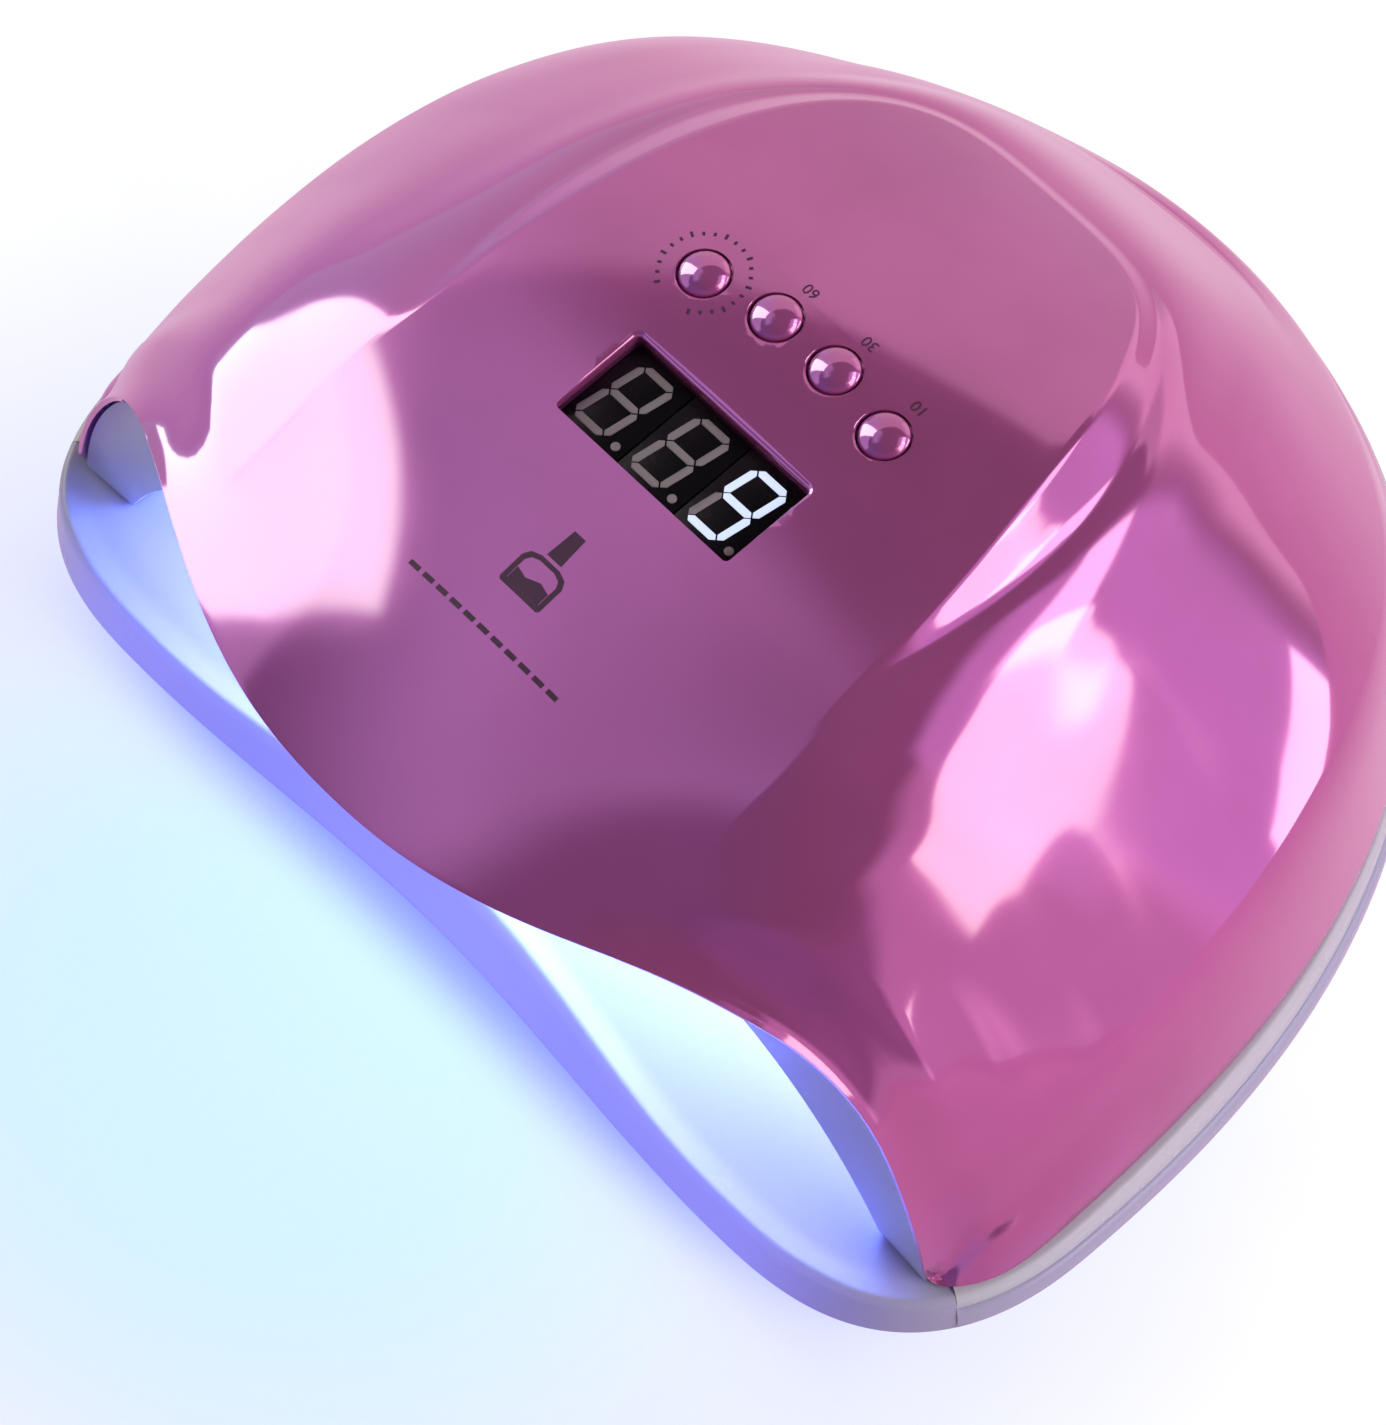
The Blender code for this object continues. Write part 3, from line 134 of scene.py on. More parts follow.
def eased(t, pairs):
    """Smoothly eased value between (t, value) pairs."""
    if t <= pairs[0][0]:
        return pairs[0][1]
    for (t0, v0), (t1, v1) in zip(pairs, pairs[1:]):
        if t <= t1:
            return v0 + (v1 - v0) * smooth((t - t0) / (t1 - t0))
    return pairs[-1][1]


def hermite(x, start, end):
    """Cubic between two (place, height, slope) knots."""
    (x0, z0, m0), (x1, z1, m1) = start, end
    h = x1 - x0
    s = (x - x0) / h
    return ((2 * s ** 3 - 3 * s ** 2 + 1) * z0 + (s ** 3 - 2 * s ** 2 + s) * h * m0
            + (-2 * s ** 3 + 3 * s ** 2) * z1 + (s ** 3 - s ** 2) * h * m1)


def spread(first, last, n):
    return [first + (last - first) * i / n for i in range(n + 1)]


# ---------------------------------------------------------------- shape of the dome
def crown(y):
    return CROWN_Z - CROWN_CURVE * (y - CROWN_Y) ** 2 - REAR_CURVE * max(0.0, y - REAR_Y) ** 3


def plateau(x, y):
    """Height of the raised panel on top."""
    k = ACROSS_CURVE + ACROSS_FRONT_CURVE * smooth((-55.0 - y) / 45.0)
    return crown(y) - k * x * x


def edge_y(x):
    u = min(abs(x), 90.0) / 90.0
    return LEG_Y + (VISOR_Y - LEG_Y) * (1.0 - u ** 2.2) ** 1.9


def edge_z(x):
    u = min(abs(x) / EDGE_HALF, 1.0)
    return EDGE_LOW + (EDGE_TOP - EDGE_LOW) * (1.0 - u ** 5) ** 0.74


# Lines round the dome, in plan: y of the back end, y and half width at the widest, and the two
# exponents of the curve between
CREASE_BACK, BAND_BACK = 67.0, 74.5
RIM_LINE = (33.5, -40.0, 45.5, 1.3, 0.265)
CREASE_LINE = (CREASE_BACK, -60.0, 66.5, 1.85, 0.49)
BAND_LINE = (BAND_BACK, BASE_MID_Y, 99.5, REAR_POW, 0.5)
HEM_LINE = (78.5, BASE_MID_Y, 106.0, REAR_POW, 0.5)


def line_x(y, line, front):
    """Half width of a line; front gives its change by the distance ahead of the widest place."""
    back, widest, half, power, root = line
    if y > back:
        return -1.0
    if y > widest:
        return half * (1.0 - ((y - widest) / (back - widest)) ** power) ** root
    return half + front(widest - y)


def rim_x(y):
    return line_x(y, RIM_LINE, lambda d: 1.5 * smooth(d / 30.0))


def crease_x(y):
    return line_x(y, CREASE_LINE, lambda d: 1.5 * smooth(d / 30.0))


def band_x(y):
    return line_x(y, BAND_LINE, lambda d: -3.1 * (d / 25.6) ** 2)


def hem_x(y):
    return line_x(y, HEM_LINE, lambda d: -7.1 * (d / 25.0) ** 4)


def crease_z(y):
    if y > REAR_Y:
        fall = (min(y, CREASE_BACK) - REAR_Y) ** 3 / (CREASE_BACK - REAR_Y) ** 3
        return 34.0 + 40.0 * (1.0 - fall)
    return 74.0 - 14.0 * ((REAR_Y - y) / 65.0) ** 4


def band_z(y):
    if y < 0.0:
        return 44.5 - 22.5 * (-y / 83.7) ** 1.7
    return 44.5 - 9.5 * (1.0 - math.cos(math.pi * (min(y, BAND_BACK) / BAND_BACK) ** 1.4))


def hem_z(y):
    return EDGE_LOW + 4.0 * smooth((y - LEG_Y) / 60.0)


def hem_floor(y):
    """Lowest point of the shell's edge: the hem, rounded up to the front edge at the leg tips."""
    d = min(max(LEG_ROUND - (y - LEG_Y), 0.0), LEG_ROUND)
    return hem_z(y) + LEG_ROUND - math.sqrt(LEG_ROUND ** 2 - d ** 2)


def step_weight(y):
    """Height of the raised panel's side step: none in front, full mid-length, low at the back."""
    return smooth((y + 62.0) / 62.0) if y < 0.0 else 1.0 - 0.72 * smooth(y / 33.0)


# Slopes of the sections against their station (0 front edge, 1 pole, 2 back): (station, slope)
STEP_FALL = ((0.0, -0.03), (0.3, -0.12), (0.6, -0.2), (1.0, -0.25), (1.5, -0.4), (2.0, -0.65))
CREASE_IN = ((0.0, -0.49), (0.3, -0.42), (0.6, -0.70), (1.0, -0.80), (1.5, -1.0), (1.8, -1.38),
             (2.0, -1.38))
CREASE_OUT = ((0.0, -0.5), (0.3, -0.7), (0.6, -0.72), (1.0, -0.72), (1.25, -0.8), (1.5, -1.1),
              (1.7, -1.4), (1.85, -1.5), (2.0, -1.36))
BAND_IN = ((0.0, -3.3), (0.3, -1.7), (0.5, -1.5), (0.7, -1.3), (1.0, -1.08), (1.5, -1.4),
           (1.7, -1.7), (1.85, -1.62), (2.0, -1.4))
BAND_OUT, HEM_SLOPE = -3.4, -5.5
# (station, share of the flank's width at which its hollow starts)
SCOOP_PLACE = ((0.0, 0.5), (0.3, 0.55), (1.0, 0.55), (2.0, 0.5))


class Section:
    """One cut through the dome, from crown to hem, at a station from 0 (front edge) to 2 (back).

    knots holds (distance from the crown, height, slope).
    """

    def __init__(self, station):
        self.station = station
        rim = self.cross(rim_x)
        step = step_weight(self.xy(rim)[1])
        foot = rim + 1.2 + 5.4 * step
        crease = self.cross(crease_x)
        if station <= 0.0:
            band, hem = EDGE_BAND, EDGE_HALF
        else:
            band, hem = self.cross(band_x), self.cross(hem_x)
        rim_z, foot_z = self.top(rim), self.top(foot) - 5.2 * step
        fold_z = crease_z(self.xy(crease)[1])
        side_z = band_z(self.xy(band)[1])
        bottom_z = hem_z(self.xy(hem)[1])
        step_slope = (foot_z - rim_z) / (foot - rim)
        fall, crease_in, crease_out, band_in = [
            eased(station, pairs) for pairs in (STEP_FALL, CREASE_IN, CREASE_OUT, BAND_IN)]
        # the flank runs straight, then hollows out to the band: the slope there follows its ends
        width = band - crease
        place = eased(station, SCOOP_PLACE)
        scoop = crease + place * width
        scoop_slope = (2.0 * (side_z - fold_z) / width - place * crease_out
                       - (1.0 - place) * band_in)
        # half widths of the roundings over rim, foot, crease and band
        near = smooth(station / 0.3)
        at_rim, at_foot = 0.5 + 0.4 * step, 0.5 + 1.0 * step
        at_crease, at_band = min(1.0 + 2.2 * near, 0.3 * width), min(0.8 + 0.6 * near, 0.25 * width)
        start, e = rim - at_rim, 0.05
        self.knots = [
            (start, self.top(start), (self.top(start + e) - self.top(start - e)) / (2 * e)),
            (rim + at_rim, rim_z + step_slope * at_rim, step_slope),
            (foot - at_foot, foot_z - step_slope * at_foot, step_slope),
            (foot + at_foot, foot_z + fall * at_foot, fall),
            (crease - at_crease, fold_z - crease_in * at_crease, crease_in),
            (crease + at_crease, fold_z + crease_out * at_crease, crease_out),
            (scoop, fold_z + 0.5 * (crease_out + scoop_slope) * place * width, scoop_slope),
            (band - at_band, side_z - band_in * at_band, band_in),
            (band + at_band, side_z + BAND_OUT * at_band, BAND_OUT),
            (hem, bottom_z, HEM_SLOPE),
        ]

    def xy(self, r):
        if self.station <= 1.0:
            return r, POLE_Y + (1.0 - self.station) * (edge_y(r) - POLE_Y)
        angle = 0.5 * math.pi * self.station
        return r * math.sin(angle), POLE_Y - r * math.cos(angle)

    def cross(self, guide):
        """Distance from the crown at which the section crosses a line round the dome."""
        def beyond(r):
            x, y = self.xy(r)
            return x - guide(y)
        return bisect(beyond, 0.0, 125.0)

    def top(self, r):
        return plateau(*self.xy(r))

    def z(self, r):
        if r <= self.knots[0][0]:
            z = self.top(r)
        else:
            z = self.knots[-1][1]
            for start, end in zip(self.knots, self.knots[1:]):
                if r <= end[0]:
                    z = hermite(r, start, end)
                    break
        # close to the front edge the section melts into the edge's own arch
        k = smooth(self.station / 0.16)
        if k < 1.0:
            z = k * z + (1.0 - k) * edge_z(r)
            middle = 1.0 - smooth((r - 40.0) / 26.0)
            z = middle * self.top(r) + (1.0 - middle) * z
        return z

    def points(self, counts):
        """Points from crown to hem: counts gives the steps in each span between knots."""
        places = [0.0] + [knot[0] for knot in self.knots]
        rows = [0.0]
        for r0, r1, n in zip(places, places[1:], counts):
            rows += [r0 + (r1 - r0) * (i + 1) / n for i in range(n)]
        return [(*self.xy(r), self.z(r)) for r in rows]


# ---------------------------------------------------------------- local axes
# A set of axes is (origin, first, second, third axis).
def point_in(axes, a, b, c=0.0):
    o, ex, ey, ez = axes
    return tuple(o[k] + ex[k] * a + ey[k] * b + ez[k] * c for k in range(3))


def moved(axes, a, b):
    return (point_in(axes, a, b),) + axes[1:]


def upright(x, y, z=0.0):
    return (x, y, z), (1.0, 0.0, 0.0), (0.0, 1.0, 0.0), (0.0, 0.0, 1.0)


CONTROL = ((0.0, WINDOW_Y, CONTROL_Z), (1.0, 0.0, 0.0), (0.0, math.cos(TILT), math.sin(TILT)),
           (0.0, -math.sin(TILT), math.cos(TILT)))
JACK = ((0.0, 0.0, JACK_Z), (1.0, 0.0, 0.0), (0.0, 0.0, -1.0), (0.0, 1.0, 0.0))


def button_place(x, y):
    """Axes of a button on the control plane, and the panel's height over that plane there."""
    dy, dz = y - WINDOW_Y, plateau(x, y) - CONTROL_Z
    along = dy * math.cos(TILT) + dz * math.sin(TILT)
    return moved(CONTROL, x, along), -dy * math.sin(TILT) + dz * math.cos(TILT)


# ---------------------------------------------------------------- base outline
def half_outline():
    """Base outline on the +X side from front centre to back centre, evenly spaced, with normals."""
    points = []
    for i in range(200):
        x = BASE_FLAT * i / 200
        points.append((x, BASE_FRONT_Y - BASE_BOW * smooth(x / BASE_FLAT)))
    front = BASE_FRONT_Y - BASE_BOW
    for i in range(200):
        p = 0.5 * math.pi * i / 200
        points.append(
            (BASE_FLAT + (BASE_HALF - BASE_FLAT) * math.sin(p) ** (2 / CORNER_X_POW),
             BASE_MID_Y - (BASE_MID_Y - front) * math.cos(p) ** (2 / CORNER_Y_POW)))
    for i in range(401):
        p = 0.5 * math.pi * i / 400
        points.append((BASE_HALF * max(math.cos(p), 0.0),
                       BASE_MID_Y + BASE_BACK * math.sin(p) ** (2 / BASE_POW)))
    points = np.array(points)
    run = np.r_[0.0, np.cumsum(np.hypot(*np.diff(points, axis=0).T))]
    places = np.linspace(0.0, run[-1], 1601)
    even = np.stack([np.interp(places, run, points[:, k]) for k in range(2)], 1)
    for _ in range(6):
        even[1:-1] = 0.25 * even[:-2] + 0.5 * even[1:-1] + 0.25 * even[2:]
    tangents = np.gradient(even, axis=0)
    tangents[0], tangents[-1] = (1.0, 0.0), (-1.0, 0.0)
    tangents /= np.hypot(*tangents.T)[:, None]
    return places, even, np.stack([tangents[:, 1], -tangents[:, 0]], 1)


OUT_PLACES, OUT_POINTS, OUT_NORMALS = half_outline()


def outline(place):
    """Point and outward normal at a distance along the half outline."""
    point, normal = [[float(np.interp(place, OUT_PLACES, values[:, k])) for k in range(2)]
                     for values in (OUT_POINTS, OUT_NORMALS)]
    h = math.hypot(*normal)
    return point, (normal[0] / h, normal[1] / h)


def outline_at_y(y):
    """Distance along the half outline at which the side reaches y."""
    widest = np.argmax(OUT_POINTS[:, 0])
    if y < OUT_POINTS[widest, 1]:
        k = np.arange(0, widest + 1)
        k = k[OUT_POINTS[k, 0] > BASE_FLAT]
    else:
        k = np.arange(widest, len(OUT_PLACES))
    return float(np.interp(y, OUT_POINTS[k, 1], OUT_PLACES[k]))


def stand_profile(point, normal, profile):
    """A profile of (inset, height) stood up across the outline."""
    return [(point[0] - normal[0] * d, point[1] - normal[1] * d, z) for d, z in profile]


def mirrored(ring):
    return [(-x, y, z) for x, y, z in ring]


def flange_inset(y):
    """Width of the frame's ledge, out to the reflector's foot."""
    return 12.0 + 13.0 * smooth((y - FRAME_END_Y) / 24.0) - 3.0 * smooth((y - 10.0) / 60.0)


def on_ledge(y, inset):
    """Point on the frame's ledge, the given distance inside the outline where its side passes y."""
    (x, side_y), (nx, ny) = outline(outline_at_y(y))
    return x - nx * inset, side_y - ny * inset


def both_sides(*points):
    return [(side * x, y) for x, y in points for side in (1, -1)]


SCREWS = both_sides(on_ledge(-38.0, 15.0), on_ledge(64.0, 13.5))
MAGNETS = both_sides(on_ledge(-60.0, 15.0), on_ledge(26.0, 14.0))
FEET = both_sides((84.0, -76.0), (58.0, 42.0))


# ---------------------------------------------------------------- reflector and light boards
def arch(half, top, power, root, share, y_at):
    """Point of a tunnel arch; share runs from 0 at the middle to 1 at the foot."""
    x = half * share
    return x, y_at(x), TUNNEL_LOW + (top - TUNNEL_LOW) * max(1.0 - share ** power, 0.0) ** root


def liner_radius(angle):
    across = abs(math.sin(angle)) / TUNNEL_DEEP_HALF
    back = abs(math.cos(angle)) / TUNNEL_BACK
    return 1.0 / (across ** TUNNEL_PLAN + back ** TUNNEL_PLAN) ** (1 / TUNNEL_PLAN)


def wall_board(y, direction, outward, reach, top, behind):
    """Axes of a board fitted behind two points of a wall section, third axis into the cavity.

    The section runs from (0, y) along direction, and is reach wide and top high.
    """
    (r0, z0), (r1, z1) = [
        (reach * u, TUNNEL_LOW + (top - TUNNEL_LOW) * (1.0 - u ** TUNNEL_POW))
        for u in (0.955, 0.80)]
    along = Vector((0, 0, 1)).cross(outward)
    rise = Vector((0, 0, z1 - z0))
    up = (outward * ((r1 - r0) * direction.dot(outward)) + rise).normalized()
    into = along.cross(up)
    if into.dot(outward) > 0:
        into = -into
    middle = (Vector((0.0, y, 0.0)) + direction * (0.5 * (r0 + r1))
              + Vector((0, 0, 0.5 * (z0 + z1))) - into * behind)
    return tuple(middle), tuple(up.cross(into)), tuple(up), tuple(into)


def grid(columns, rows):
    return [(a, b) for a in columns for b in rows]


def light_boards():
    """Each light board: its axes, the bead spots on it, and its half sizes."""
    roof = (0.0, -34.0, 61.9), (1.0, 0.0, 0.0), (0.0, -1.0, 0.0), (0.0, 0.0, -1.0)
    boards = {"roof": (roof, grid((-26.0, 26.0), (-27.0, -9.0, 9.0, 27.0)), (33.0, 33.0))}
    rows = (-BEAD_ROW, BEAD_ROW)
    for side, name in ((1, "right"), (-1, "left")):
        outward = Vector((side, 0.0, 0.0))
        axes = wall_board(-46.0, outward, outward, 0.5 * (TUNNEL_HALF + TUNNEL_DEEP_HALF),
                          0.5 * (TUNNEL_TOP + TUNNEL_DEEP_TOP), behind=4.4)
        boards[name] = axes, grid((-24.0, -8.0, 8.0, 24.0), rows), (30.0, 9.5)
    angle = math.radians(128.0)
    across, back = abs(math.sin(angle)), abs(math.cos(angle))
    for side, name in ((1, "rear_right"), (-1, "rear_left")):
        direction = Vector((side * math.sin(angle), -math.cos(angle), 0.0))
        power = TUNNEL_PLAN - 1.0
        outward = Vector((side * (across / TUNNEL_DEEP_HALF) ** power / TUNNEL_DEEP_HALF,
                          (back / TUNNEL_BACK) ** power / TUNNEL_BACK, 0.0)).normalized()
        axes = wall_board(POLE_Y, direction, outward, liner_radius(angle), TUNNEL_DEEP_TOP,
                          behind=4.9)
        boards[name] = axes, grid((-13.0, 0.0, 13.0), rows), (18.0, 9.5)
    return boards


LIGHT_BOARDS = light_boards()


# ---------------------------------------------------------------- mesh helpers
def link(name, data):
    piece = bpy.data.objects.new(name, data)
    bpy.context.scene.collection.objects.link(piece)
    return piece


def mesh_object(name, verts, faces):
    mesh = bpy.data.meshes.new(name)
    mesh.from_pydata([(x * MM, y * MM, z * MM) for x, y, z in verts], [], faces)
    mesh.update()
    piece = link(name, mesh)
    fix(piece)
    return piece


def fix(piece):
    """Welds doubled vertices and turns the faces outward."""
    work = bmesh.new()
    work.from_mesh(piece.data)
    bmesh.ops.remove_doubles(work, verts=work.verts, dist=1e-7)
    bmesh.ops.recalc_face_normals(work, faces=work.faces)
    work.to_mesh(piece.data)
    work.free()


def face_up(piece):
    work = bmesh.new()
    work.from_mesh(piece.data)
    if sum(f.normal.z * f.calc_area() for f in work.faces) < 0:
        bmesh.ops.reverse_faces(work, faces=work.faces)
    work.to_mesh(piece.data)
    work.free()


def evaluated_mesh(piece):
    deps = bpy.context.evaluated_depsgraph_get()
    deps.update()
    return bpy.data.meshes.new_from_object(piece.evaluated_get(deps))


def apply(piece, kind, **settings):
    """Adds a modifier and bakes it into the mesh."""
    modifier = piece.modifiers.new(kind.lower(), kind)
    for key, value in settings.items():
        setattr(modifier, key, value)
    mesh = evaluated_mesh(piece)
    old = piece.data
    piece.modifiers.clear()
    piece.data = mesh
    bpy.data.meshes.remove(old)


def cut(piece, cutters, operation="DIFFERENCE"):
    work = bmesh.new()
    for cutter in cutters:
        work.from_mesh(cutter.data)
    mesh = bpy.data.meshes.new("cutter")
    work.to_mesh(mesh)
    work.free()
    for cutter in cutters:
        bpy.data.objects.remove(cutter, do_unlink=True)
    tool = link("cutter", mesh)
    apply(piece, "BOOLEAN", operation=operation, solver="EXACT", object=tool)
    bpy.data.objects.remove(tool, do_unlink=True)


def thicken(piece, wall, offset, thin, weight):
    """Gives a sheet its wall; weight(x, y, z) eases it from the share thin up to full."""
    group = piece.vertex_groups.new(name="wall")
    for v in piece.data.vertices:
        x, y, z = v.co / MM
        share = thin + (1.0 - thin) * smooth(weight(abs(x), y, z))
        group.add([v.index], share, "REPLACE")
    apply(piece, "SOLIDIFY", thickness=wall * MM, offset=offset, use_even_offset=True,
          vertex_group=group.name)


def shade(piece, degrees=30.0):
    piece.data.shade_smooth()
    piece.data.set_sharp_from_angle(angle=math.radians(degrees))


def sheet(name, columns, pole):
    """Half columns from front to back, mirrored in x. From index pole on they share a first point."""
    verts, index = [], {}
    last = len(columns) - 1

    def vert(i, j, side):
        if j == 0:
            side = 1
            i = min(i, pole)
        if i == last:
            side = 1
        if (i, j, side) not in index:
            x, y, z = columns[i][j]
            if j == 0 or i == last:
                x = 0.0
            index[i, j, side] = len(verts)
            verts.append((x * side, y, z))
        return index[i, j, side]

    faces = []
    for i in range(last):
        for j in range(len(columns[i]) - 1):
            for side in (1, -1):
                corners = (i, j), (i, j + 1), (i + 1, j + 1), (i + 1, j)
                face = list(dict.fromkeys(vert(*corner, side) for corner in corners))
                if len(face) > 2:
                    faces.append(face[::side])
    piece = mesh_object(name, verts, faces)
    face_up(piece)
    return piece


def loft(name, rings):
    """Closed rings joined in order, with both ends capped."""
    n, m = len(rings[0]), len(rings)
    faces = []
    for i in range(m - 1):
        for j in range(n):
            k = (j + 1) % n
            faces.append((i * n + j, i * n + k, (i + 1) * n + k, (i + 1) * n + j))
    faces.append(tuple(range(n)))
    faces.append(tuple((m - 1) * n + j for j in reversed(range(n))))
    return mesh_object(name, [p for ring in rings for p in ring], faces)


def turned(name, profile, axes, n=48):
    """A profile of (radius, height) turned about the third axis."""
    verts, rows = [], []
    for r, h in profile:
        if r <= 1e-9:
            rows.append([len(verts)] * n)
            verts.append(point_in(axes, 0.0, 0.0, h))
        else:
            rows.append(list(range(len(verts), len(verts) + n)))
            for i in range(n):
                angle = 2 * math.pi * i / n
                verts.append(point_in(axes, r * math.cos(angle), r * math.sin(angle), h))
    faces = []
    for low, high in zip(rows, rows[1:]):
        for i in range(n):
            j = (i + 1) % n
            face = list(dict.fromkeys((low[i], low[j], high[j], high[i])))
            if len(face) > 2:
                faces.append(face)
    return mesh_object(name, verts, faces)


def drill(axes, radius, low, high, n):
    """Plain round cutter."""
    return turned("drill", ((0, low), (radius, low), (radius, high), (0, high)), axes, n)


def box(name, axes, a, b, c, bevel=0.0):
    """Box over the ranges a, b and c of its axes."""
    verts = [point_in(axes, x, y, z) for z in c
             for x, y in ((a[0], b[0]), (a[1], b[0]), (a[1], b[1]), (a[0], b[1]))]
    piece = mesh_object(name, verts, [(0, 3, 2, 1), (4, 5, 6, 7), (0, 1, 5, 4), (1, 2, 6, 5),
                                      (2, 3, 7, 6), (3, 0, 4, 7)])
    if bevel:
        apply(piece, "BEVEL", width=bevel * MM, segments=2, limit_method="ANGLE")
    return piece


def merge(name, parts):
    """One object from several, keeping each one's material slots."""
    work = bmesh.new()
    materials = []
    for part in parts:
        start = len(work.faces)
        work.from_mesh(part.data)
        work.faces.ensure_lookup_table()
        slots = []
        for material in part.data.materials:
            if material not in materials:
                materials.append(material)
            slots.append(materials.index(material))
        for f in work.faces[start:]:
            f.material_index = slots[f.material_index]
    mesh = bpy.data.meshes.new(name)
    work.to_mesh(mesh)
    work.free()
    for material in materials:
        mesh.materials.append(material)
    for part in parts:
        bpy.data.objects.remove(part, do_unlink=True)
    return link(name, mesh)


def painted(piece, look):
    piece.data.materials.append(LOOKS[look])
    return piece


def put(piece, body, node, look=None):
    """Moves a piece to its place and ties it to its body; hides the CAD node it replaces and gives it
    a material slot for the look, if one is given.
    """
    if look is not None:
        piece.data.materials.clear()
        painted(piece, look)
    piece.data.transform(Matrix.Translation((0.0, SET_BACK * MM, 0.0)))
    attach(piece, body)
    if node:
        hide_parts(node)


def rounded(points, radius):
    """Polyline with its inner corners rounded."""
    out = [points[0]]
    for before, corner, after in zip(points, points[1:], points[2:]):
        p, a, b = Vector(corner), Vector(before), Vector(after)
        r = min(radius, 0.45 * (a - p).length, 0.45 * (b - p).length)
        u, v = p + (a - p).normalized() * r, p + (b - p).normalized() * r
        for k in range(5):
            t = k / 4
            q = u * (1 - t) ** 2 + p * 2 * t * (1 - t) + v * t ** 2
            out.append((q.x, q.y))
    return out + [points[-1]]


# ---------------------------------------------------------------- node helper
class Nodes:
    """Writes the node tree of a material or world. A value may be a constant or an output."""

    def __init__(self, owner):
        owner.use_nodes = True
        self.owner = owner
        self.nodes, self.links = owner.node_tree.nodes, owner.node_tree.links
        self.main = self.nodes.get("Principled BSDF") or self.nodes.get("Background")

    def new(self, kind, **props):
        node = self.nodes.new("ShaderNode" + kind)
        for key, value in props.items():
            setattr(node, key, value)
        return node

    def feed(self, socket, value):
        if isinstance(value, bpy.types.NodeSocket):
            self.links.new(value, socket)
        elif socket.type == "RGBA":
            socket.default_value = (*value, 1.0)
        else:
            socket.default_value = value

    def fill(self, node, **values):
        for key, value in values.items():
            self.feed(node.inputs[key.replace("_", " ")], value)
        return node

    def set(self, **values):
        """Sets inputs of the Principled or Background node."""
        self.fill(self.main, **values)

    def surface(self, shader):
        self.links.new(shader, self.nodes["Material Output"].inputs["Surface"])

    def coords(self, kind="Object"):
        return self.new("TexCoord").outputs[kind]

    def noise(self, scale, detail=3.0, rough=0.5, coords=None):
        vector = coords or self.coords()
        return self.fill(self.new("TexNoise"), Scale=scale, Detail=detail, Roughness=rough,
                         Vector=vector).outputs["Fac"]

    def span(self, value, source, target=(0.0, 1.0), ease="LINEAR"):
        """Maps the range source onto the range target."""
        node = self.new("MapRange", interpolation_type=ease)
        return self.fill(node, From_Min=source[0], From_Max=source[1], To_Min=target[0],
                         To_Max=target[1], Value=value).outputs["Result"]

    def vary(self, noise, low=0.0, high=1.0):
        """Maps the usual swing of a noise onto low to high."""
        return self.span(noise, (0.3, 0.7), (low, high))

    def math(self, operation, *values):
        node = self.new("Math", operation=operation)
        for socket, value in zip(node.inputs, values):
            self.feed(socket, value)
        return node.outputs[0]

    def vector(self, operation, first, second):
        node = self.new("VectorMath", operation=operation)
        self.feed(node.inputs[0], first)
        self.feed(node.inputs[1], second)
        return node.outputs["Value" if operation in ("DOT_PRODUCT", "DISTANCE") else "Vector"]

    def split(self, vector):
        return self.fill(self.new("SeparateXYZ"), Vector=vector).outputs

    def mix(self, factor, first, second, **props):
        node = self.new("Mix", data_type="RGBA", **props)
        for socket, value in ((0, factor), (6, first), (7, second)):
            self.feed(node.inputs[socket], value)
        return node.outputs[2]

    def mix_shader(self, factor, first, second):
        node = self.new("MixShader")
        for socket, value in enumerate((factor, first, second)):
            self.feed(node.inputs[socket], value)
        return node.outputs[0]

    def bump(self, height, strength, distance):
        return self.fill(self.new("Bump"), Strength=strength, Distance=distance,
                         Height=height).outputs["Normal"]


def material(name):
    return Nodes(bpy.data.materials.new(name))


# ---------------------------------------------------------------- materials
def plastic(name, tone, second_tone, rough, grain, grain_strength):
    """Moulded plastic: slight tone and gloss variation and a fine moulded grain."""
    n = material(name)
    n.set(Base_Color=n.mix(n.vary(n.noise(scale=35.0, detail=4.0)), tone, second_tone),
          Roughness=n.vary(n.noise(scale=120.0), *rough),
          Normal=n.bump(n.noise(grain), grain_strength, distance=0.0001))
    return n.owner


def metal(name, tone, rough, stretch_z):
    """Bare metal with a fine grain; stretch_z crowds the grain along Z for a brushed look."""
    n = material(name)
    mapping = n.fill(n.new("Mapping"), Scale=(1.0, 1.0, stretch_z), Vector=n.coords())
    grain = n.noise(scale=400.0, detail=4.0, rough=0.6, coords=mapping.outputs["Vector"])
    n.set(Base_Color=n.mix(n.vary(grain), tone, tuple(0.8 * c for c in tone)),
          Roughness=n.vary(grain, *rough),
          Normal=n.bump(grain, strength=0.08, distance=0.00005),
          Metallic=1.0)
    return n.owner


# the two pinks are the lacquer's tones; the violet is the lamp's bluish light painted in
PINK, PINK_DEEP, VIOLET_BLUE_LIT = (0.62, 0.112, 0.40), (0.53, 0.09, 0.33), (0.48, 0.112, 0.52)
# the first colour here is a painted sheen seen at grazing angles; MICA is the flecks' colour
PINK_SHEEN, MICA = (0.80, 0.17, 0.42), (1.0, 0.78, 0.92)


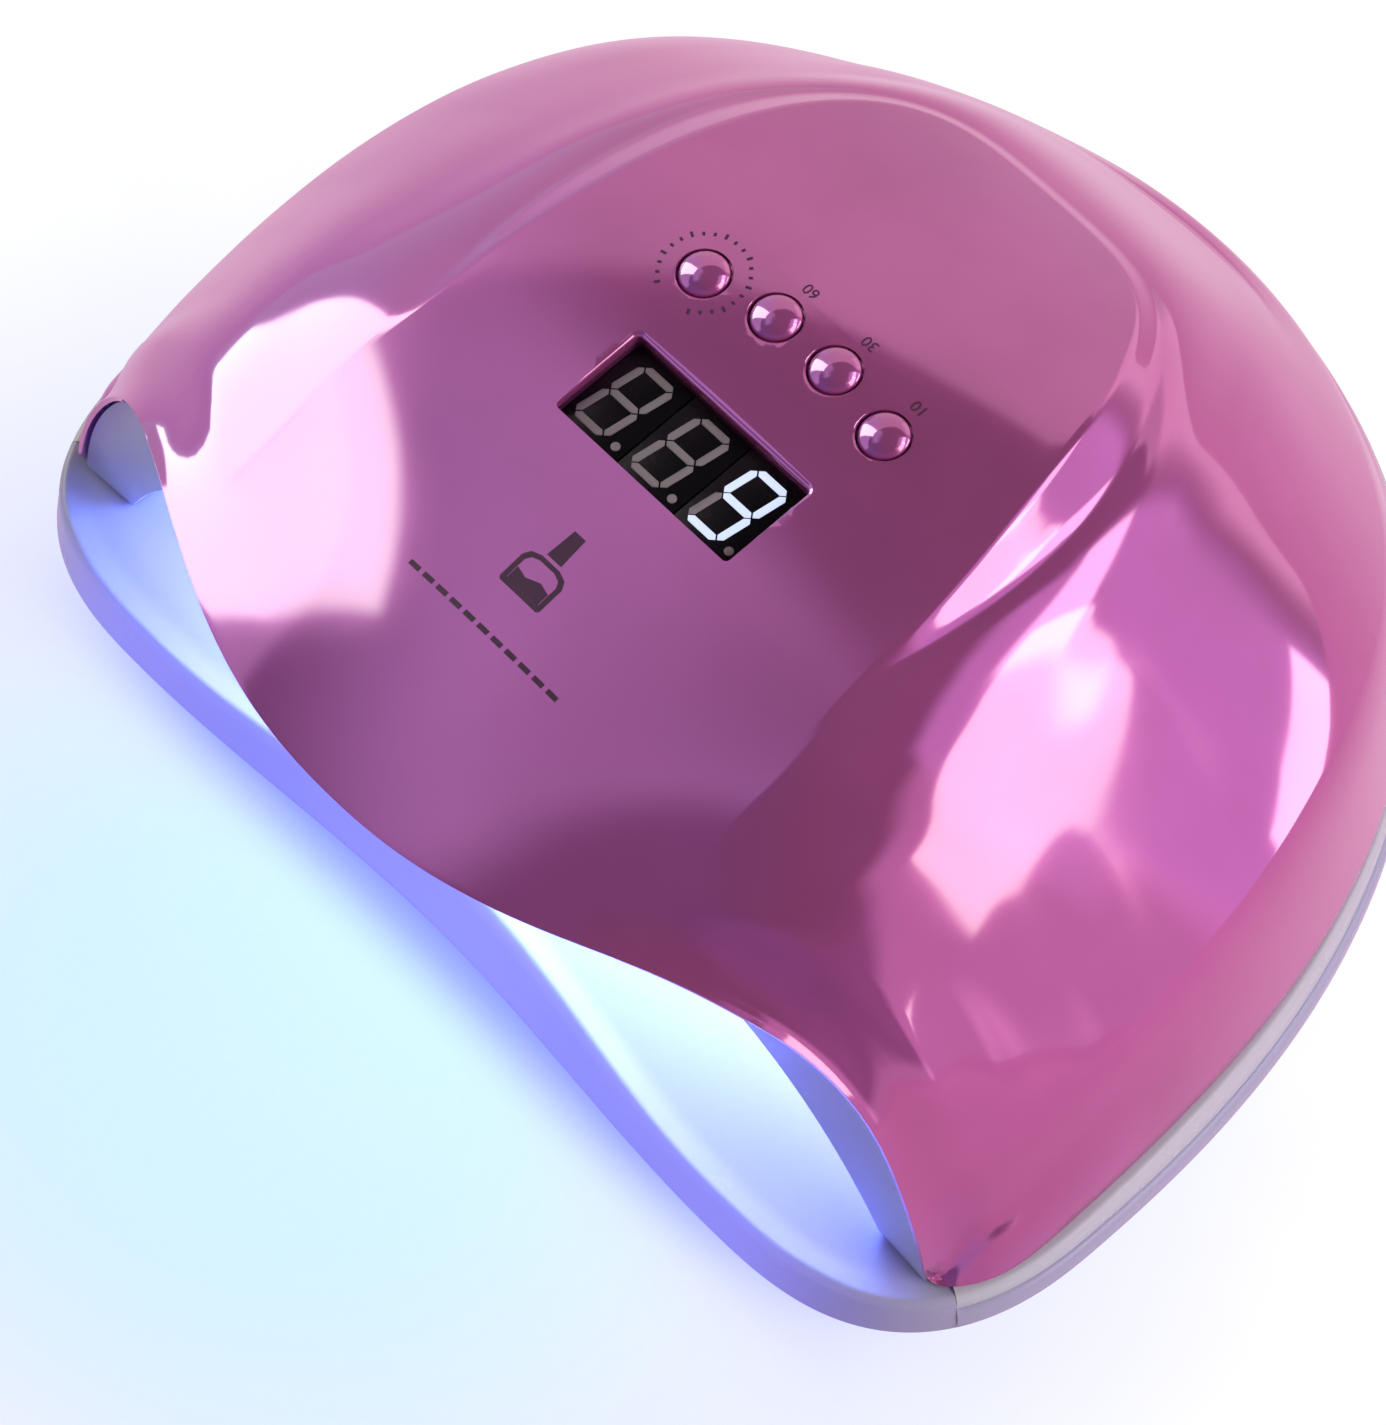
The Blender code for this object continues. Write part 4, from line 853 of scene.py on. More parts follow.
def pearl(name):
    """Pearl lacquer: pink, with painted violet on upper faces that lean to the front and to -X,
    standing in for the bluish light of the lamp's glow falling from that side, and a painted
    sheen of brighter pink towards grazing angles.

    Fine mica fleck and a hard clear coat lie over it.
    """
    n = material(name)
    normal = n.new("NewGeometry").outputs["Normal"]
    place = n.coords()
    # painted light: violet where upper faces lean to the front and -X, for the bluish glow falling
    # there
    lean = n.vector("DOT_PRODUCT", normal, (-0.62, -0.78, 0.0))
    turn = n.math("MULTIPLY", n.span(n.split(normal)["Z"], (0.1, 0.45)),
                  n.span(lean, (0.0, 0.42)))
    cloud = n.span(n.noise(scale=28.0, coords=place), (0.35, 0.65))
    base = n.mix(turn, n.mix(cloud, PINK, PINK_DEEP), VIOLET_BLUE_LIT)
    # painted sheen: the pink brightens towards grazing angles
    facing = n.fill(n.new("LayerWeight"), Blend=0.42).outputs["Facing"]
    edge = n.mix(n.span(facing, (0.45, 1.0), (0.0, 0.6)), base, PINK_SHEEN)
    cells = n.fill(n.new("TexVoronoi"), Scale=5200.0, Vector=place).outputs["Distance"]
    flecks = n.span(cells, (0.0, 0.28), (0.08, 0.0))
    wave = n.noise(scale=90.0, detail=1.0, rough=0.4, coords=place)
    n.set(Base_Color=n.mix(flecks, edge, MICA),
          Roughness=n.vary(n.noise(scale=60.0, detail=2.0, coords=place), 0.085, 0.115),
          Metallic=0.55, Coat_Weight=1.0, Coat_Roughness=0.012, Coat_IOR=1.68,
          Coat_Normal=n.bump(wave, strength=0.04, distance=0.0002))
    return n.owner


def lit_tray(name):
    """White gloss plastic with a painted blue glow on its front wall, for the lamp's blue light
    falling on it.
    """
    # its two tones are a darker, bluer white than the frame's: painted shade and blue lamp light
    n = Nodes(plastic(name, (0.58, 0.53, 0.73), (0.55, 0.50, 0.70), (0.20, 0.28), 700.0, 0.03))
    normal = n.split(n.new("NewGeometry").outputs["Normal"])
    place = n.split(n.coords())
    # painted blue glow: fades out to the sides, away from front-facing walls and towards the back
    wide = n.span(n.math("ABSOLUTE", place["X"]), (0.070, 0.106), (1.0, 0.0), "SMOOTHSTEP")
    facing = n.span(normal["Y"], (-0.75, -0.15), (1.0, 0.0))
    front = n.span(place["Y"], (-0.072, -0.058), (1.0, 0.0))
    painted_glow = n.math("MULTIPLY", n.math("MULTIPLY", wide, facing), front)
    n.set(Emission_Color=(0.16, 0.16, 1.0), Emission_Strength=n.math("MULTIPLY", painted_glow, 0.65))
    return n.owner


def glow(name, light, strength, tone=(0.9, 0.9, 0.92)):
    n = material(name)
    shift = n.vary(n.noise(scale=300.0, detail=2.0))
    n.set(Base_Color=n.mix(shift, tone, tuple(0.94 * c for c in tone)), Roughness=0.25,
          Emission_Color=light, Emission_Strength=strength)
    return n.owner


def clear_window(name):
    n = material(name)
    clear = n.fill(n.new("BsdfTransparent"), Color=(0.93, 0.93, 0.94))
    gloss = n.fill(n.new("BsdfGlossy"), Color=(0.90, 0.50, 0.80),
                   Roughness=n.vary(n.noise(scale=80.0, detail=2.0), 0.03, 0.06))
    fresnel = n.fill(n.new("Fresnel"), IOR=1.04)
    n.surface(n.mix_shader(fresnel.outputs[0], clear.outputs[0], gloss.outputs[0]))
    return n.owner


# plastic: name, two tones, roughness range, grain scale, grain strength
# metal: name, tone, roughness range, crowding of the grain along Z
LOOKS = {
    "pearl": pearl("pearl_pink"),
    "white": plastic("white_gloss", (0.80, 0.75, 0.83), (0.76, 0.71, 0.80),
                     (0.22, 0.30), 700.0, 0.03),
    "tray": lit_tray("white_gloss_lit"),
    # the reflector is white plastic; its blue tint is the lamp's blue light painted in
    "liner": plastic("white_reflector", (0.62, 0.61, 0.92), (0.59, 0.58, 0.89),
                     (0.34, 0.42), 800.0, 0.05),
    "black": plastic("black_moulded", (0.012, 0.012, 0.014), (0.02, 0.02, 0.022),
                     (0.35, 0.5), 1200.0, 0.15),
    "face": plastic("display_face", (0.004, 0.004, 0.005), (0.008, 0.008, 0.009),
                    (0.25, 0.32), 900.0, 0.03),
    "green": plastic("board_green", (0.02, 0.16, 0.06), (0.03, 0.24, 0.10),
                     (0.3, 0.45), 500.0, 0.12),
    "board": plastic("board_white", (0.82, 0.83, 0.82), (0.74, 0.76, 0.75),
                     (0.35, 0.5), 500.0, 0.1),
    "rubber": plastic("rubber_grey", (0.06, 0.06, 0.065), (0.10, 0.10, 0.11),
                      (0.7, 0.9), 1500.0, 0.4),
    "ink": plastic("print_ink", (0.055, 0.02, 0.05), (0.075, 0.03, 0.065),
                   (0.35, 0.45), 900.0, 0.02),
    "segment": plastic("segment_grey", (0.45, 0.36, 0.39), (0.50, 0.41, 0.44),
                       (0.4, 0.5), 900.0, 0.02),
    "segment_lit": glow("segment_lit", light=(0.66, 0.76, 1.0), strength=1.1,
                        tone=(0.3, 0.3, 0.32)),
    "bead": glow("bead_lit", light=(0.25, 0.22, 1.0), strength=12.0),
    "window": clear_window("display_window_clear"),
    "steel": metal("steel_zinc", (0.60, 0.61, 0.62), (0.28, 0.42), 14.0),
    "nickel": metal("nickel", (0.70, 0.69, 0.67), (0.14, 0.24), 1.0),
    "sensor": plastic("sensor_dark", (0.03, 0.006, 0.02), (0.05, 0.01, 0.03),
                      (0.12, 0.18), 900.0, 0.02),
    "wire_black": plastic("wire_black", (0.015, 0.015, 0.015), (0.025, 0.025, 0.025),
                          (0.45, 0.6), 900.0, 0.1),
    "wire_red": plastic("wire_red", (0.45, 0.02, 0.02), (0.55, 0.03, 0.03),
                        (0.4, 0.55), 900.0, 0.1),
}
Nodes(LOOKS["face"]).set(Specular_IOR_Level=0.15)
for look in ("ink", "face", "segment", "black", "sensor", "white", "tray"):
    Nodes(LOOKS[look]).set(Specular_Tint=(0.92, 0.52, 0.84))


# ---------------------------------------------------------------- top shell
# stations crowd towards the front edge; steps are those between a section's knots
FRONT_STATIONS = [0.0, 0.01, 0.02, 0.035, 0.05, 0.065, 0.08, 0.10, 0.12, 0.14, 0.16, 0.18]
SECTION_STEPS = (22, 4, 4, 4, 10, 6, 7, 7, 5, 10)


def window_plug():
    """Cutter for the window, with a rounded flare towards the top."""
    # (height over the control plane, growth of the outline)
    steps = [(-6.0, 0.0), (-0.85, 0.0)]
    for k in range(1, 6):
        angle = k * math.pi / 12
        steps.append((-0.85 + 0.8 * math.sin(angle), 0.8 - 0.8 * math.cos(angle)))
    steps += [(0.3, 1.1), (3.0, 1.1)]
    rings = []
    for height, grow in steps:
        a, b, r = WINDOW_HALF_X + grow, WINDOW_HALF_Y + grow, 0.8 + grow
        ring = []
        for quarter, (sx, sy) in enumerate(((1, 1), (-1, 1), (-1, -1), (1, -1))):
            for i in range(7):
                angle = math.radians(90 * quarter + 15 * i)
                ring.append(point_in(CONTROL, sx * (a - r) + r * math.cos(angle),
                                     sy * (b - r) + r * math.sin(angle), height))
        rings.append(ring)
    return loft("window", rings)


def button_hole(x, y):
    """Cutter for a button hole with a rounded top edge."""
    r, lip = CAP_HOLE_R - 0.12, 0.55
    profile = [(0, -6.0), (r, -6.0), (r, -0.62)]
    for k in range(1, 5):
        angle = k * math.pi / 10
        profile.append((r + lip - lip * math.cos(angle), -0.62 + lip * math.sin(angle)))
    profile += [(r + 0.8, 0.1), (r + 0.8, 3.0), (0, 3.0)]
    return turned("hole", profile, button_place(x, y)[0], 64)


def build_shell():
    stations = FRONT_STATIONS + [0.2 + 0.8 * i / 44 for i in range(45)]
    pole = len(stations) - 1
    stations += [1.0 + (i + 1) / 72 for i in range(72)]
    shell = sheet("shell", [Section(t).points(SECTION_STEPS) for t in stations], pole)
    thicken(shell, SHELL_WALL, -1.0, 0.4,
            lambda x, y, z: (y - (edge_y(x) if x < 95.0 else LEG_Y)) / 10.0)
    for v in shell.data.vertices:
        v.co.z = max(v.co.z, hem_floor(v.co.y / MM) * MM)
    apply(shell, "BEVEL", width=0.45 * MM, segments=2, limit_method="ANGLE",
          angle_limit=math.radians(62.0))
    a, b = WINDOW_HALF_X + 2.0, WINDOW_HALF_Y + 2.0
    cut(shell, [box("collar", CONTROL, (-a, a), (-b, b), (-4.0, -1.2))], "UNION")
    tools = [window_plug()] + [button_hole(x, y) for _, x, y in BUTTONS]
    tools.append(drill(JACK, JACK_R + 0.4, 60.0, 95.0, 40))
    cut(shell, tools)
    fix(shell)
    shade(shell, 32.0)
    apply(shell, "WEIGHTED_NORMAL", mode="FACE_AREA", weight=60, keep_sharp=True)
    put(shell, "lamp", "top_shell", "pearl")


# ---------------------------------------------------------------- reflector
def mouth_y(x):
    return -82.0 - 6.0 * (1.0 - (x / TUNNEL_HALF) ** 2)


def liner_columns():
    """Columns from the visor edge through the tunnel and round its back, and the pole's index."""
    rows = 44
    shares = [math.sin(0.5 * math.pi * j / rows) ** 0.8 for j in range(rows + 1)]
    outer = [arch(LINER_EDGE_HALF, LINER_EDGE_TOP, 5.0, 0.74, u,
                  lambda x: edge_y(x * EDGE_HALF / LINER_EDGE_HALF) + 0.9) for u in shares]
    mouth = [arch(TUNNEL_HALF, TUNNEL_TOP, TUNNEL_POW, 1.0, u, mouth_y) for u in shares]
    columns = []
    for k in (0.0, 0.12, 0.3, 0.5, 0.7, 0.86, 0.95):
        columns.append([tuple(a * (1 - k) + b * k for a, b in zip(p, q))
                        for p, q in zip(outer, mouth)])
    for k in (i / 40 for i in range(41)):
        half = TUNNEL_HALF + (TUNNEL_DEEP_HALF - TUNNEL_HALF) * smooth(k)
        top = TUNNEL_TOP + (TUNNEL_DEEP_TOP - TUNNEL_TOP) * smooth(k)
        columns.append([
            arch(half, top, TUNNEL_POW, 1.0, u,
                 lambda x: (1.0 - k) * mouth_y(x * TUNNEL_HALF / half) + k * POLE_Y)
            for u in shares])
    pole = len(columns) - 1
    height = TUNNEL_DEEP_TOP - TUNNEL_LOW
    for i in range(48):
        angle = 0.5 * math.pi * (1.0 + (i + 1) / 48)
        radius = liner_radius(angle)
        columns.append([(radius * u * math.sin(angle), POLE_Y - radius * u * math.cos(angle),
                         TUNNEL_LOW + height * (1.0 - u ** TUNNEL_POW)) for u in shares])
    return columns, pole


def build_liner():
    liner = sheet("liner", *liner_columns())
    thicken(liner, LINER_WALL, 1.0, 0.15, lambda x, y, z: (y - edge_y(x) - 1.2) / 8.0)
    tools = [drill(moved(axes, a, b), BEAD_HOLE_R, -9.0, 9.0, 28)
             for axes, spots, _ in LIGHT_BOARDS.values() for a, b in spots]
    tools.append(drill(upright(0.0, SENSOR_Y, 56.0), SENSOR_HOLE_R, -14.0, 14.0, 28))
    cut(liner, tools)
    fix(liner)
    shade(liner, 28.0)
    put(liner, "lamp", "reflector_liner", "liner")


def bead(axes, reach):
    """Bead body and its domed lens, reach high."""
    seat, foot, lens_r = reach - 2.1, reach - 2.3, BEAD_R * 0.86
    body = turned("bead_body", ((0, 0.0), (BEAD_R, 0.0), (BEAD_R, foot), (BEAD_R - 0.15, seat),
                                (0, seat)), axes, 28)
    dome = [(lens_r * math.cos(k * math.pi / 14), seat + 2.1 * math.sin(k * math.pi / 14))
            for k in range(7)]
    lens = turned("bead_lens", [(0, foot), (lens_r, foot)] + dome + [(0.0, reach)], axes, 28)
    return [painted(body, "board"), painted(lens, "bead")]


def build_boards():
    for name, (axes, spots, (a, b)) in LIGHT_BOARDS.items():
        parts = [painted(box("plate", axes, (-a, a), (-b, b), (-1.2, 0.0), 0.25), "board")]
        for spot in spots:
            parts += bead(moved(axes, *spot), 5.2 if name == "roof" else 6.0)
        board = merge("light_board_" + name, parts)
        shade(board, 40.0)
        put(board, "lamp", "led_board_" + name)


# ---------------------------------------------------------------- frame and tray
# counterbored screw hole: (radius, height)
SCREW_HOLE = ((0, 4.0), (3.2, 4.0), (3.2, 7.9), (1.6, 7.9), (1.6, 12.0), (0, 12.0))
FOOT_PROFILE = ((0, 0.35), (3.4, 0.35), (3.7, 0.0), (5.5, 0.0), (FOOT_R - 0.15, 0.12),
                (FOOT_R, 0.45), (FOOT_R, 1.6), (0, 1.6))


def build_frame():
    """White rim under the shell, from one leg round the back to the other."""
    half = []
    for place in spread(outline_at_y(FRAME_END_Y), OUT_PLACES[-1], 110):
        point, normal = outline(place)
        top = hem_z(point[1]) - GAP
        under = TRAY_RIM_Z + GAP
        ledge = flange_inset(point[1])
        profile = rounded([(ledge, under), (1.0, under), (0.9, top - 1.1), (1.7, top),
                           (7.2, top), (7.6, FRAME_FLANGE_Z), (ledge, FRAME_FLANGE_Z)], 0.6)
        half.append(stand_profile(point, normal, profile))
    rim = loft("rim_frame", half + [mirrored(ring) for ring in reversed(half[:-1])])
    tools = [turned("screw_hole", SCREW_HOLE, upright(x, y), 32) for x, y in SCREWS]
    tools += [drill(upright(x, y), MAGNET_HOLE_R, 4.0, 8.2, 36) for x, y in MAGNETS]
    cut(rim, tools)
    fix(rim)
    shade(rim)
    put(rim, "lamp", "body_frame", "white")


def tray_front_profile(x):
    """Leaning front wall with a raised lip, as (inset, height)."""
    lean = 1.9 + 3.7 * (1.0 - smooth(x / 62.0)) - 0.9 * smooth((x - 86.0) / 16.0)
    return rounded([
        (12.0, TRAY_UNDER), (0.8, TRAY_UNDER), (0.0, TRAY_UNDER + 0.9), (lean * 0.45, 5.2),
        (lean * 0.85, 8.4), (lean + 0.7, TRAY_LIP_Z + 0.1), (lean + 2.0, TRAY_LIP_Z - 0.2),
        (lean + 4.6, TRAY_TOP_Z), (lean + 16.0, TRAY_TOP_Z)], 1.4)


def tray_rear_profile(y):
    """Low rim under the frame, then a step up to the tray's top, as (inset, height)."""
    ledge = flange_inset(max(y, FRAME_END_Y)) + GAP
    return rounded([
        (12.0, TRAY_UNDER), (0.8, TRAY_UNDER), (0.0, TRAY_UNDER + 0.9), (0.0, 3.5), (0.1, 5.2),
        (0.9, TRAY_RIM_Z), (ledge, TRAY_RIM_Z), (ledge + 0.4, TRAY_TOP_Z),
        (ledge + 12.0, TRAY_TOP_Z)], 0.5)


def build_tray():
    front_end = outline_at_y(FRAME_END_Y - 0.06)
    half = []
    for place in spread(0.0, front_end, 80) + spread(front_end + 0.12, OUT_PLACES[-1], 110):
        point, normal = outline(place)
        if place <= front_end:
            profile = tray_front_profile(point[0])
        else:
            profile = tray_rear_profile(point[1])
        half.append(stand_profile(point, normal, profile))
    ring = half + [mirrored(column) for column in reversed(half[1:-1])]
    n, m = len(ring), len(ring[0])
    faces = []
    for i in range(n):
        k = (i + 1) % n
        faces += [(i * m + j, k * m + j, k * m + j + 1, i * m + j + 1) for j in range(m - 1)]
    faces.append(tuple(i * m + m - 1 for i in range(n)))
    faces.append(tuple(i * m for i in reversed(range(n))))
    tray = mesh_object("tray", [p for column in ring for p in column], faces)
    tools = [drill(upright(x, y), FOOT_HOLE_R, 0.0, 1.9, 40) for x, y in FEET]
    tools += [drill(upright(x, y), MAGNET_HOLE_R, 3.9, 7.0, 36) for x, y in MAGNETS]
    cut(tray, tools)
    fix(tray)
    shade(tray)
    put(tray, "tray", "base_tray", "tray")
    for i, (x, y) in enumerate(FEET, 1):
        foot = turned("pad_%d" % i, FOOT_PROFILE, upright(x, y))
        shade(foot, 40.0)
        put(foot, "tray", "foot_%d" % i, "rubber")


# ---------------------------------------------------------------- controls
def segment(x0, y0, x1, y1):
    """Slanted bar with pointed ends, as an outline in the digit's plane."""
    dx, dy = x1 - x0, y1 - y0
    length = math.hypot(dx, dy)
    ux, uy = dx / length, dy / length
    half = SEGMENT_W / 2
    shoulder = SEGMENT_GAP + half
    # end point, distance along the bar and distance across it
    corners = ((x0, y0, SEGMENT_GAP, 0.0), (x0, y0, shoulder, half), (x1, y1, -shoulder, half),
               (x1, y1, -SEGMENT_GAP, 0.0), (x1, y1, -shoulder, -half), (x0, y0, shoulder, -half))
    points = [(x + ux * along - uy * across, y + uy * along + ux * across)
              for x, y, along, across in corners]
    return [(x + y * SLANT, y) for x, y in points]


def digit_shapes():
    """Seven bars of one digit and its decimal dot."""
    a, b = DIGIT_W / 2 - SEGMENT_W / 2, DIGIT_H / 2 - SEGMENT_W / 2
    bars = [(-a, b, a, b), (a, b, a, 0), (a, 0, a, -b), (-a, -b, a, -b), (-a, 0, -a, -b),
            (-a, b, -a, 0), (-a, 0, a, 0)]
    angles = [math.pi * i / 12 for i in range(24)]
    dot = [(4.75 + DOT_R * math.cos(angle), -DIGIT_H / 2 + DOT_R + DOT_R * math.sin(angle))
           for angle in angles]
    return [segment(*bar) for bar in bars] + [dot]


def digit_bar(x, points):
    """A bar standing out of the digit's face, with softened edges."""
    cx, cy = [sum(p[k] for p in points) / len(points) for k in range(2)]
    # (height, scale of the outline)
    steps = ((-3.4, 1.0), (-2.88, 1.0), (-2.82, 0.97), (-2.8, 0.93))
    return loft("bar", [[point_in(CONTROL, x - 0.55 + cx + (px - cx) * scale,
                                  cy + (py - cy) * scale, height) for px, py in points]
                        for height, scale in steps])


def build_controls():
    window_b = WINDOW_HALF_Y - GAP
    for label, x, y in BUTTONS:
        axes, panel = button_place(x, y)
        profile = [(0.0, 1.35 + panel)]
        for k in range(1, 12):
            angle = k * math.pi / 24
            profile.append((CAP_R * math.sin(angle),
                            panel - 0.55 + 1.9 * math.cos(angle) ** 1.15))
        profile += [(CAP_R, -0.9 + panel), (CAP_R, -2.9), (5.2, -3.0), (5.2, -4.0), (1.5, -4.1),
                    (1.5, -6.0), (0.0, -6.0)]
        cap = turned("cap_" + label, profile, axes, 64)
        shade(cap, 40.0)
        put(cap, "button_" + label, "button_cap_" + label, "pearl")
    pane = box("window_pane", CONTROL, (-WINDOW_HALF_X + GAP, WINDOW_HALF_X - GAP),
               (-window_b, window_b), (-2.4, -1.7), 0.2)
    shade(pane, 40.0)
    put(pane, "lamp", "display_window", "window")
    # label and the numbers of its lit bars
    for k, (label, lit) in enumerate((("left", ()), ("centre", ()),
                                      ("right", (0, 1, 2, 3, 5, 6)))):
        x = (k - 1) * DIGIT_PITCH
        block = box("block", CONTROL, (x - DIGIT_BLOCK_HALF, x + DIGIT_BLOCK_HALF),
                    (-window_b, window_b), (-5.9, -3.0), 0.12)
        parts = [painted(block, "face")]
        for i, points in enumerate(digit_shapes()):
            parts.append(painted(digit_bar(x, points), "segment_lit" if i in lit else "segment"))
        digit = merge("digit_" + label, parts)
        shade(digit, 40.0)
        put(digit, "lamp", "display_digit_" + label)


# ---------------------------------------------------------------- pad printing
INK_LOW, INK_HIGH = 0.004, 0.05     # underside and top of the ink over the panel


def flat_to_ink(name, source, place=Matrix.Identity(4)):
    """Turns a flat filled curve in plan into an ink film that follows the raised panel."""
    mesh = evaluated_mesh(source)
    bpy.data.objects.remove(source, do_unlink=True)
    work = bmesh.new()
    work.from_mesh(mesh)
    bmesh.ops.transform(work, matrix=place, verts=work.verts)
    bmesh.ops.remove_doubles(work, verts=work.verts, dist=1e-4)
    faces = list(work.faces)
    for f in faces:
        f.smooth = False
        if f.normal.z < 0:
            f.normal_flip()
    raised = bmesh.ops.extrude_face_region(work, geom=faces)["geom"]
    top = {v for v in raised if isinstance(v, bmesh.types.BMVert)}
    for v in work.verts:
        v.co.z = plateau(v.co.x, v.co.y) + (INK_HIGH if v in top else INK_LOW)
    bmesh.ops.scale(work, vec=(MM, MM, MM), verts=work.verts)
    bmesh.ops.recalc_face_normals(work, faces=work.faces)
    work.to_mesh(mesh)
    work.free()
    put(link(name, mesh), "lamp", None, "ink")


def printed(name, loops):
    """Ink from filled outlines given in plan (x, y)."""
    curve = bpy.data.curves.new(name, "CURVE")
    curve.dimensions, curve.fill_mode = "2D", "BOTH"
    for points in loops:
        spline = curve.splines.new("POLY")
        spline.points.add(len(points) - 1)
        for p, (x, y) in zip(spline.points, points):
            p.co = (x, y, 0.0, 1.0)
        spline.use_cyclic_u = True
    flat_to_ink(name, link(name + "_c", curve))


def numeral(name, body, x, y, size, turn):
    curve = bpy.data.curves.new(name, "FONT")
    curve.body, curve.size, curve.align_x, curve.align_y = body, size, "CENTER", "CENTER"
    curve.resolution_u = 4
    flat_to_ink(name, link(name + "_t", curve),
                Matrix.Translation((x, y, 0.0)) @ Matrix.Rotation(turn, 4, "Z"))


def print_ticks():
    """Open ring of ticks round the mode button, every third one longer."""
    _, x, y = BUTTONS[0]
    ticks = []
    for i in range(22):
        angle = math.radians(-62 + i * 300 / 21)
        ux, uy = math.cos(angle), math.sin(angle)
        length = 0.62 if i % 3 else 0.95
        ticks.append([(x + ux * (6.7 + length * p) - uy * 0.21 * q,
                       y + uy * (6.7 + length * p) + ux * 0.21 * q)
                      for p, q in ((0, -1), (1, -1), (1, 1), (0, 1))])
    printed("print_ticks", ticks)


def print_bottle():
    """Pictogram of a bottle: outline, hollow, cap and level."""
    bottle = [(-3.9, -4.2), (3.9, -4.2), (4.3, -3.8), (4.3, 0.6), (3.6, 1.8), (1.9, 2.4),
              (-1.9, 2.4), (-3.6, 1.8), (-4.3, 0.6), (-4.3, -3.8)]
    hollow = [(0.80 * x, 0.78 * (y + 0.9) - 0.9) for x, y in bottle]
    cap = [(-1.5, 3.0), (1.5, 3.0), (1.15, 8.2), (-1.15, 8.2)]
    level = [(-3.3, -3.5), (3.3, -3.5), (3.3, -1.2), (1.2, -0.7), (-1.2, -1.6), (-3.3, -1.1)]
    printed("print_bottle", [[(x, -70.5 + y) for x, y in loop]
                             for loop in (bottle, hollow, cap, level)])


def print_line():
    """Row of dashes across the front of the panel."""
    low, high, half, pitch = -81.9, -81.1, 1.05, 3.0
    dashes = []
    for i in range(11):
        x = -15.0 + pitch * i
        dashes.append([(x - half, low), (x, low), (x + half, low),
                       (x + half, high), (x, high), (x - half, high)])
    printed("print_line", dashes)


def build_print():
    for label, x, y in BUTTONS[1:]:
        numeral("print_" + label, label, x + 0.3, y + 6.9, size=2.7, turn=math.pi)
    print_ticks()
    print_bottle()
    print_line()


# ---------------------------------------------------------------- jack and CAD pieces
def build_jack():
    # (radius, distance behind the origin): centre pin, socket, rounded rim, body
    profile = [(0, 74.4), (0.55, 74.3), (0.8, 73.9), (0.8, 67.0), (2.8, 67.0), (2.8, 75.3),
               (2.95, 75.7), (JACK_R - 0.3, 75.9), (JACK_R - 0.08, 75.8), (JACK_R, 75.6),
               (JACK_R, 68.0), (4.5, 68.0), (4.5, 58.0), (0, 58.0)]
    jack = turned("jack", profile, JACK)
    shade(jack, 35.0)
    put(jack, "lamp", "dc_jack", "black")


CAD_LOOKS = {"control_board": "green", "control_chip": "black", "display_housing": "black",
             "ir_sensor": "sensor", "wire_power": "wire_black", "wire_led_left": "wire_red",
             "wire_led_right": "wire_red"}
# (start of the name, look)
CAD_GROUP_LOOKS = (("button_plunger", "black"), ("button_switch", "steel"),
                   ("magnet", "nickel"), ("keeper", "steel"), ("screw", "steel"))


def finish_cad():
    """Materials and shading of the CAD pieces that are kept."""
    for name, piece in product["nodes"].items():
        group = next((look for start, look in CAD_GROUP_LOOKS if name.startswith(start)), None)
        look = CAD_LOOKS.get(name, group)
        if look:
            piece.data.materials.clear()
            painted(piece, look)
            shade(piece, 35.0)


# ---------------------------------------------------------------- floor
# brightness of the floor as a light on matt surfaces and to the camera; its tint in reflections
FLOOR_TO_MATT, FLOOR_TO_CAMERA = 0.28, 1.12
FLOOR_IN_GLOSS = (0.74, 0.43, 0.60)
FLOOR_HALF, FLOOR_Z = 4, -0.0002
WIDE_POOL, NEAR_POOL, EDGE_GLOW_BLUE = (0.80, 0.82, 1.0), (0.64, 0.84, 1.0), (0.30, 0.36, 1.0)


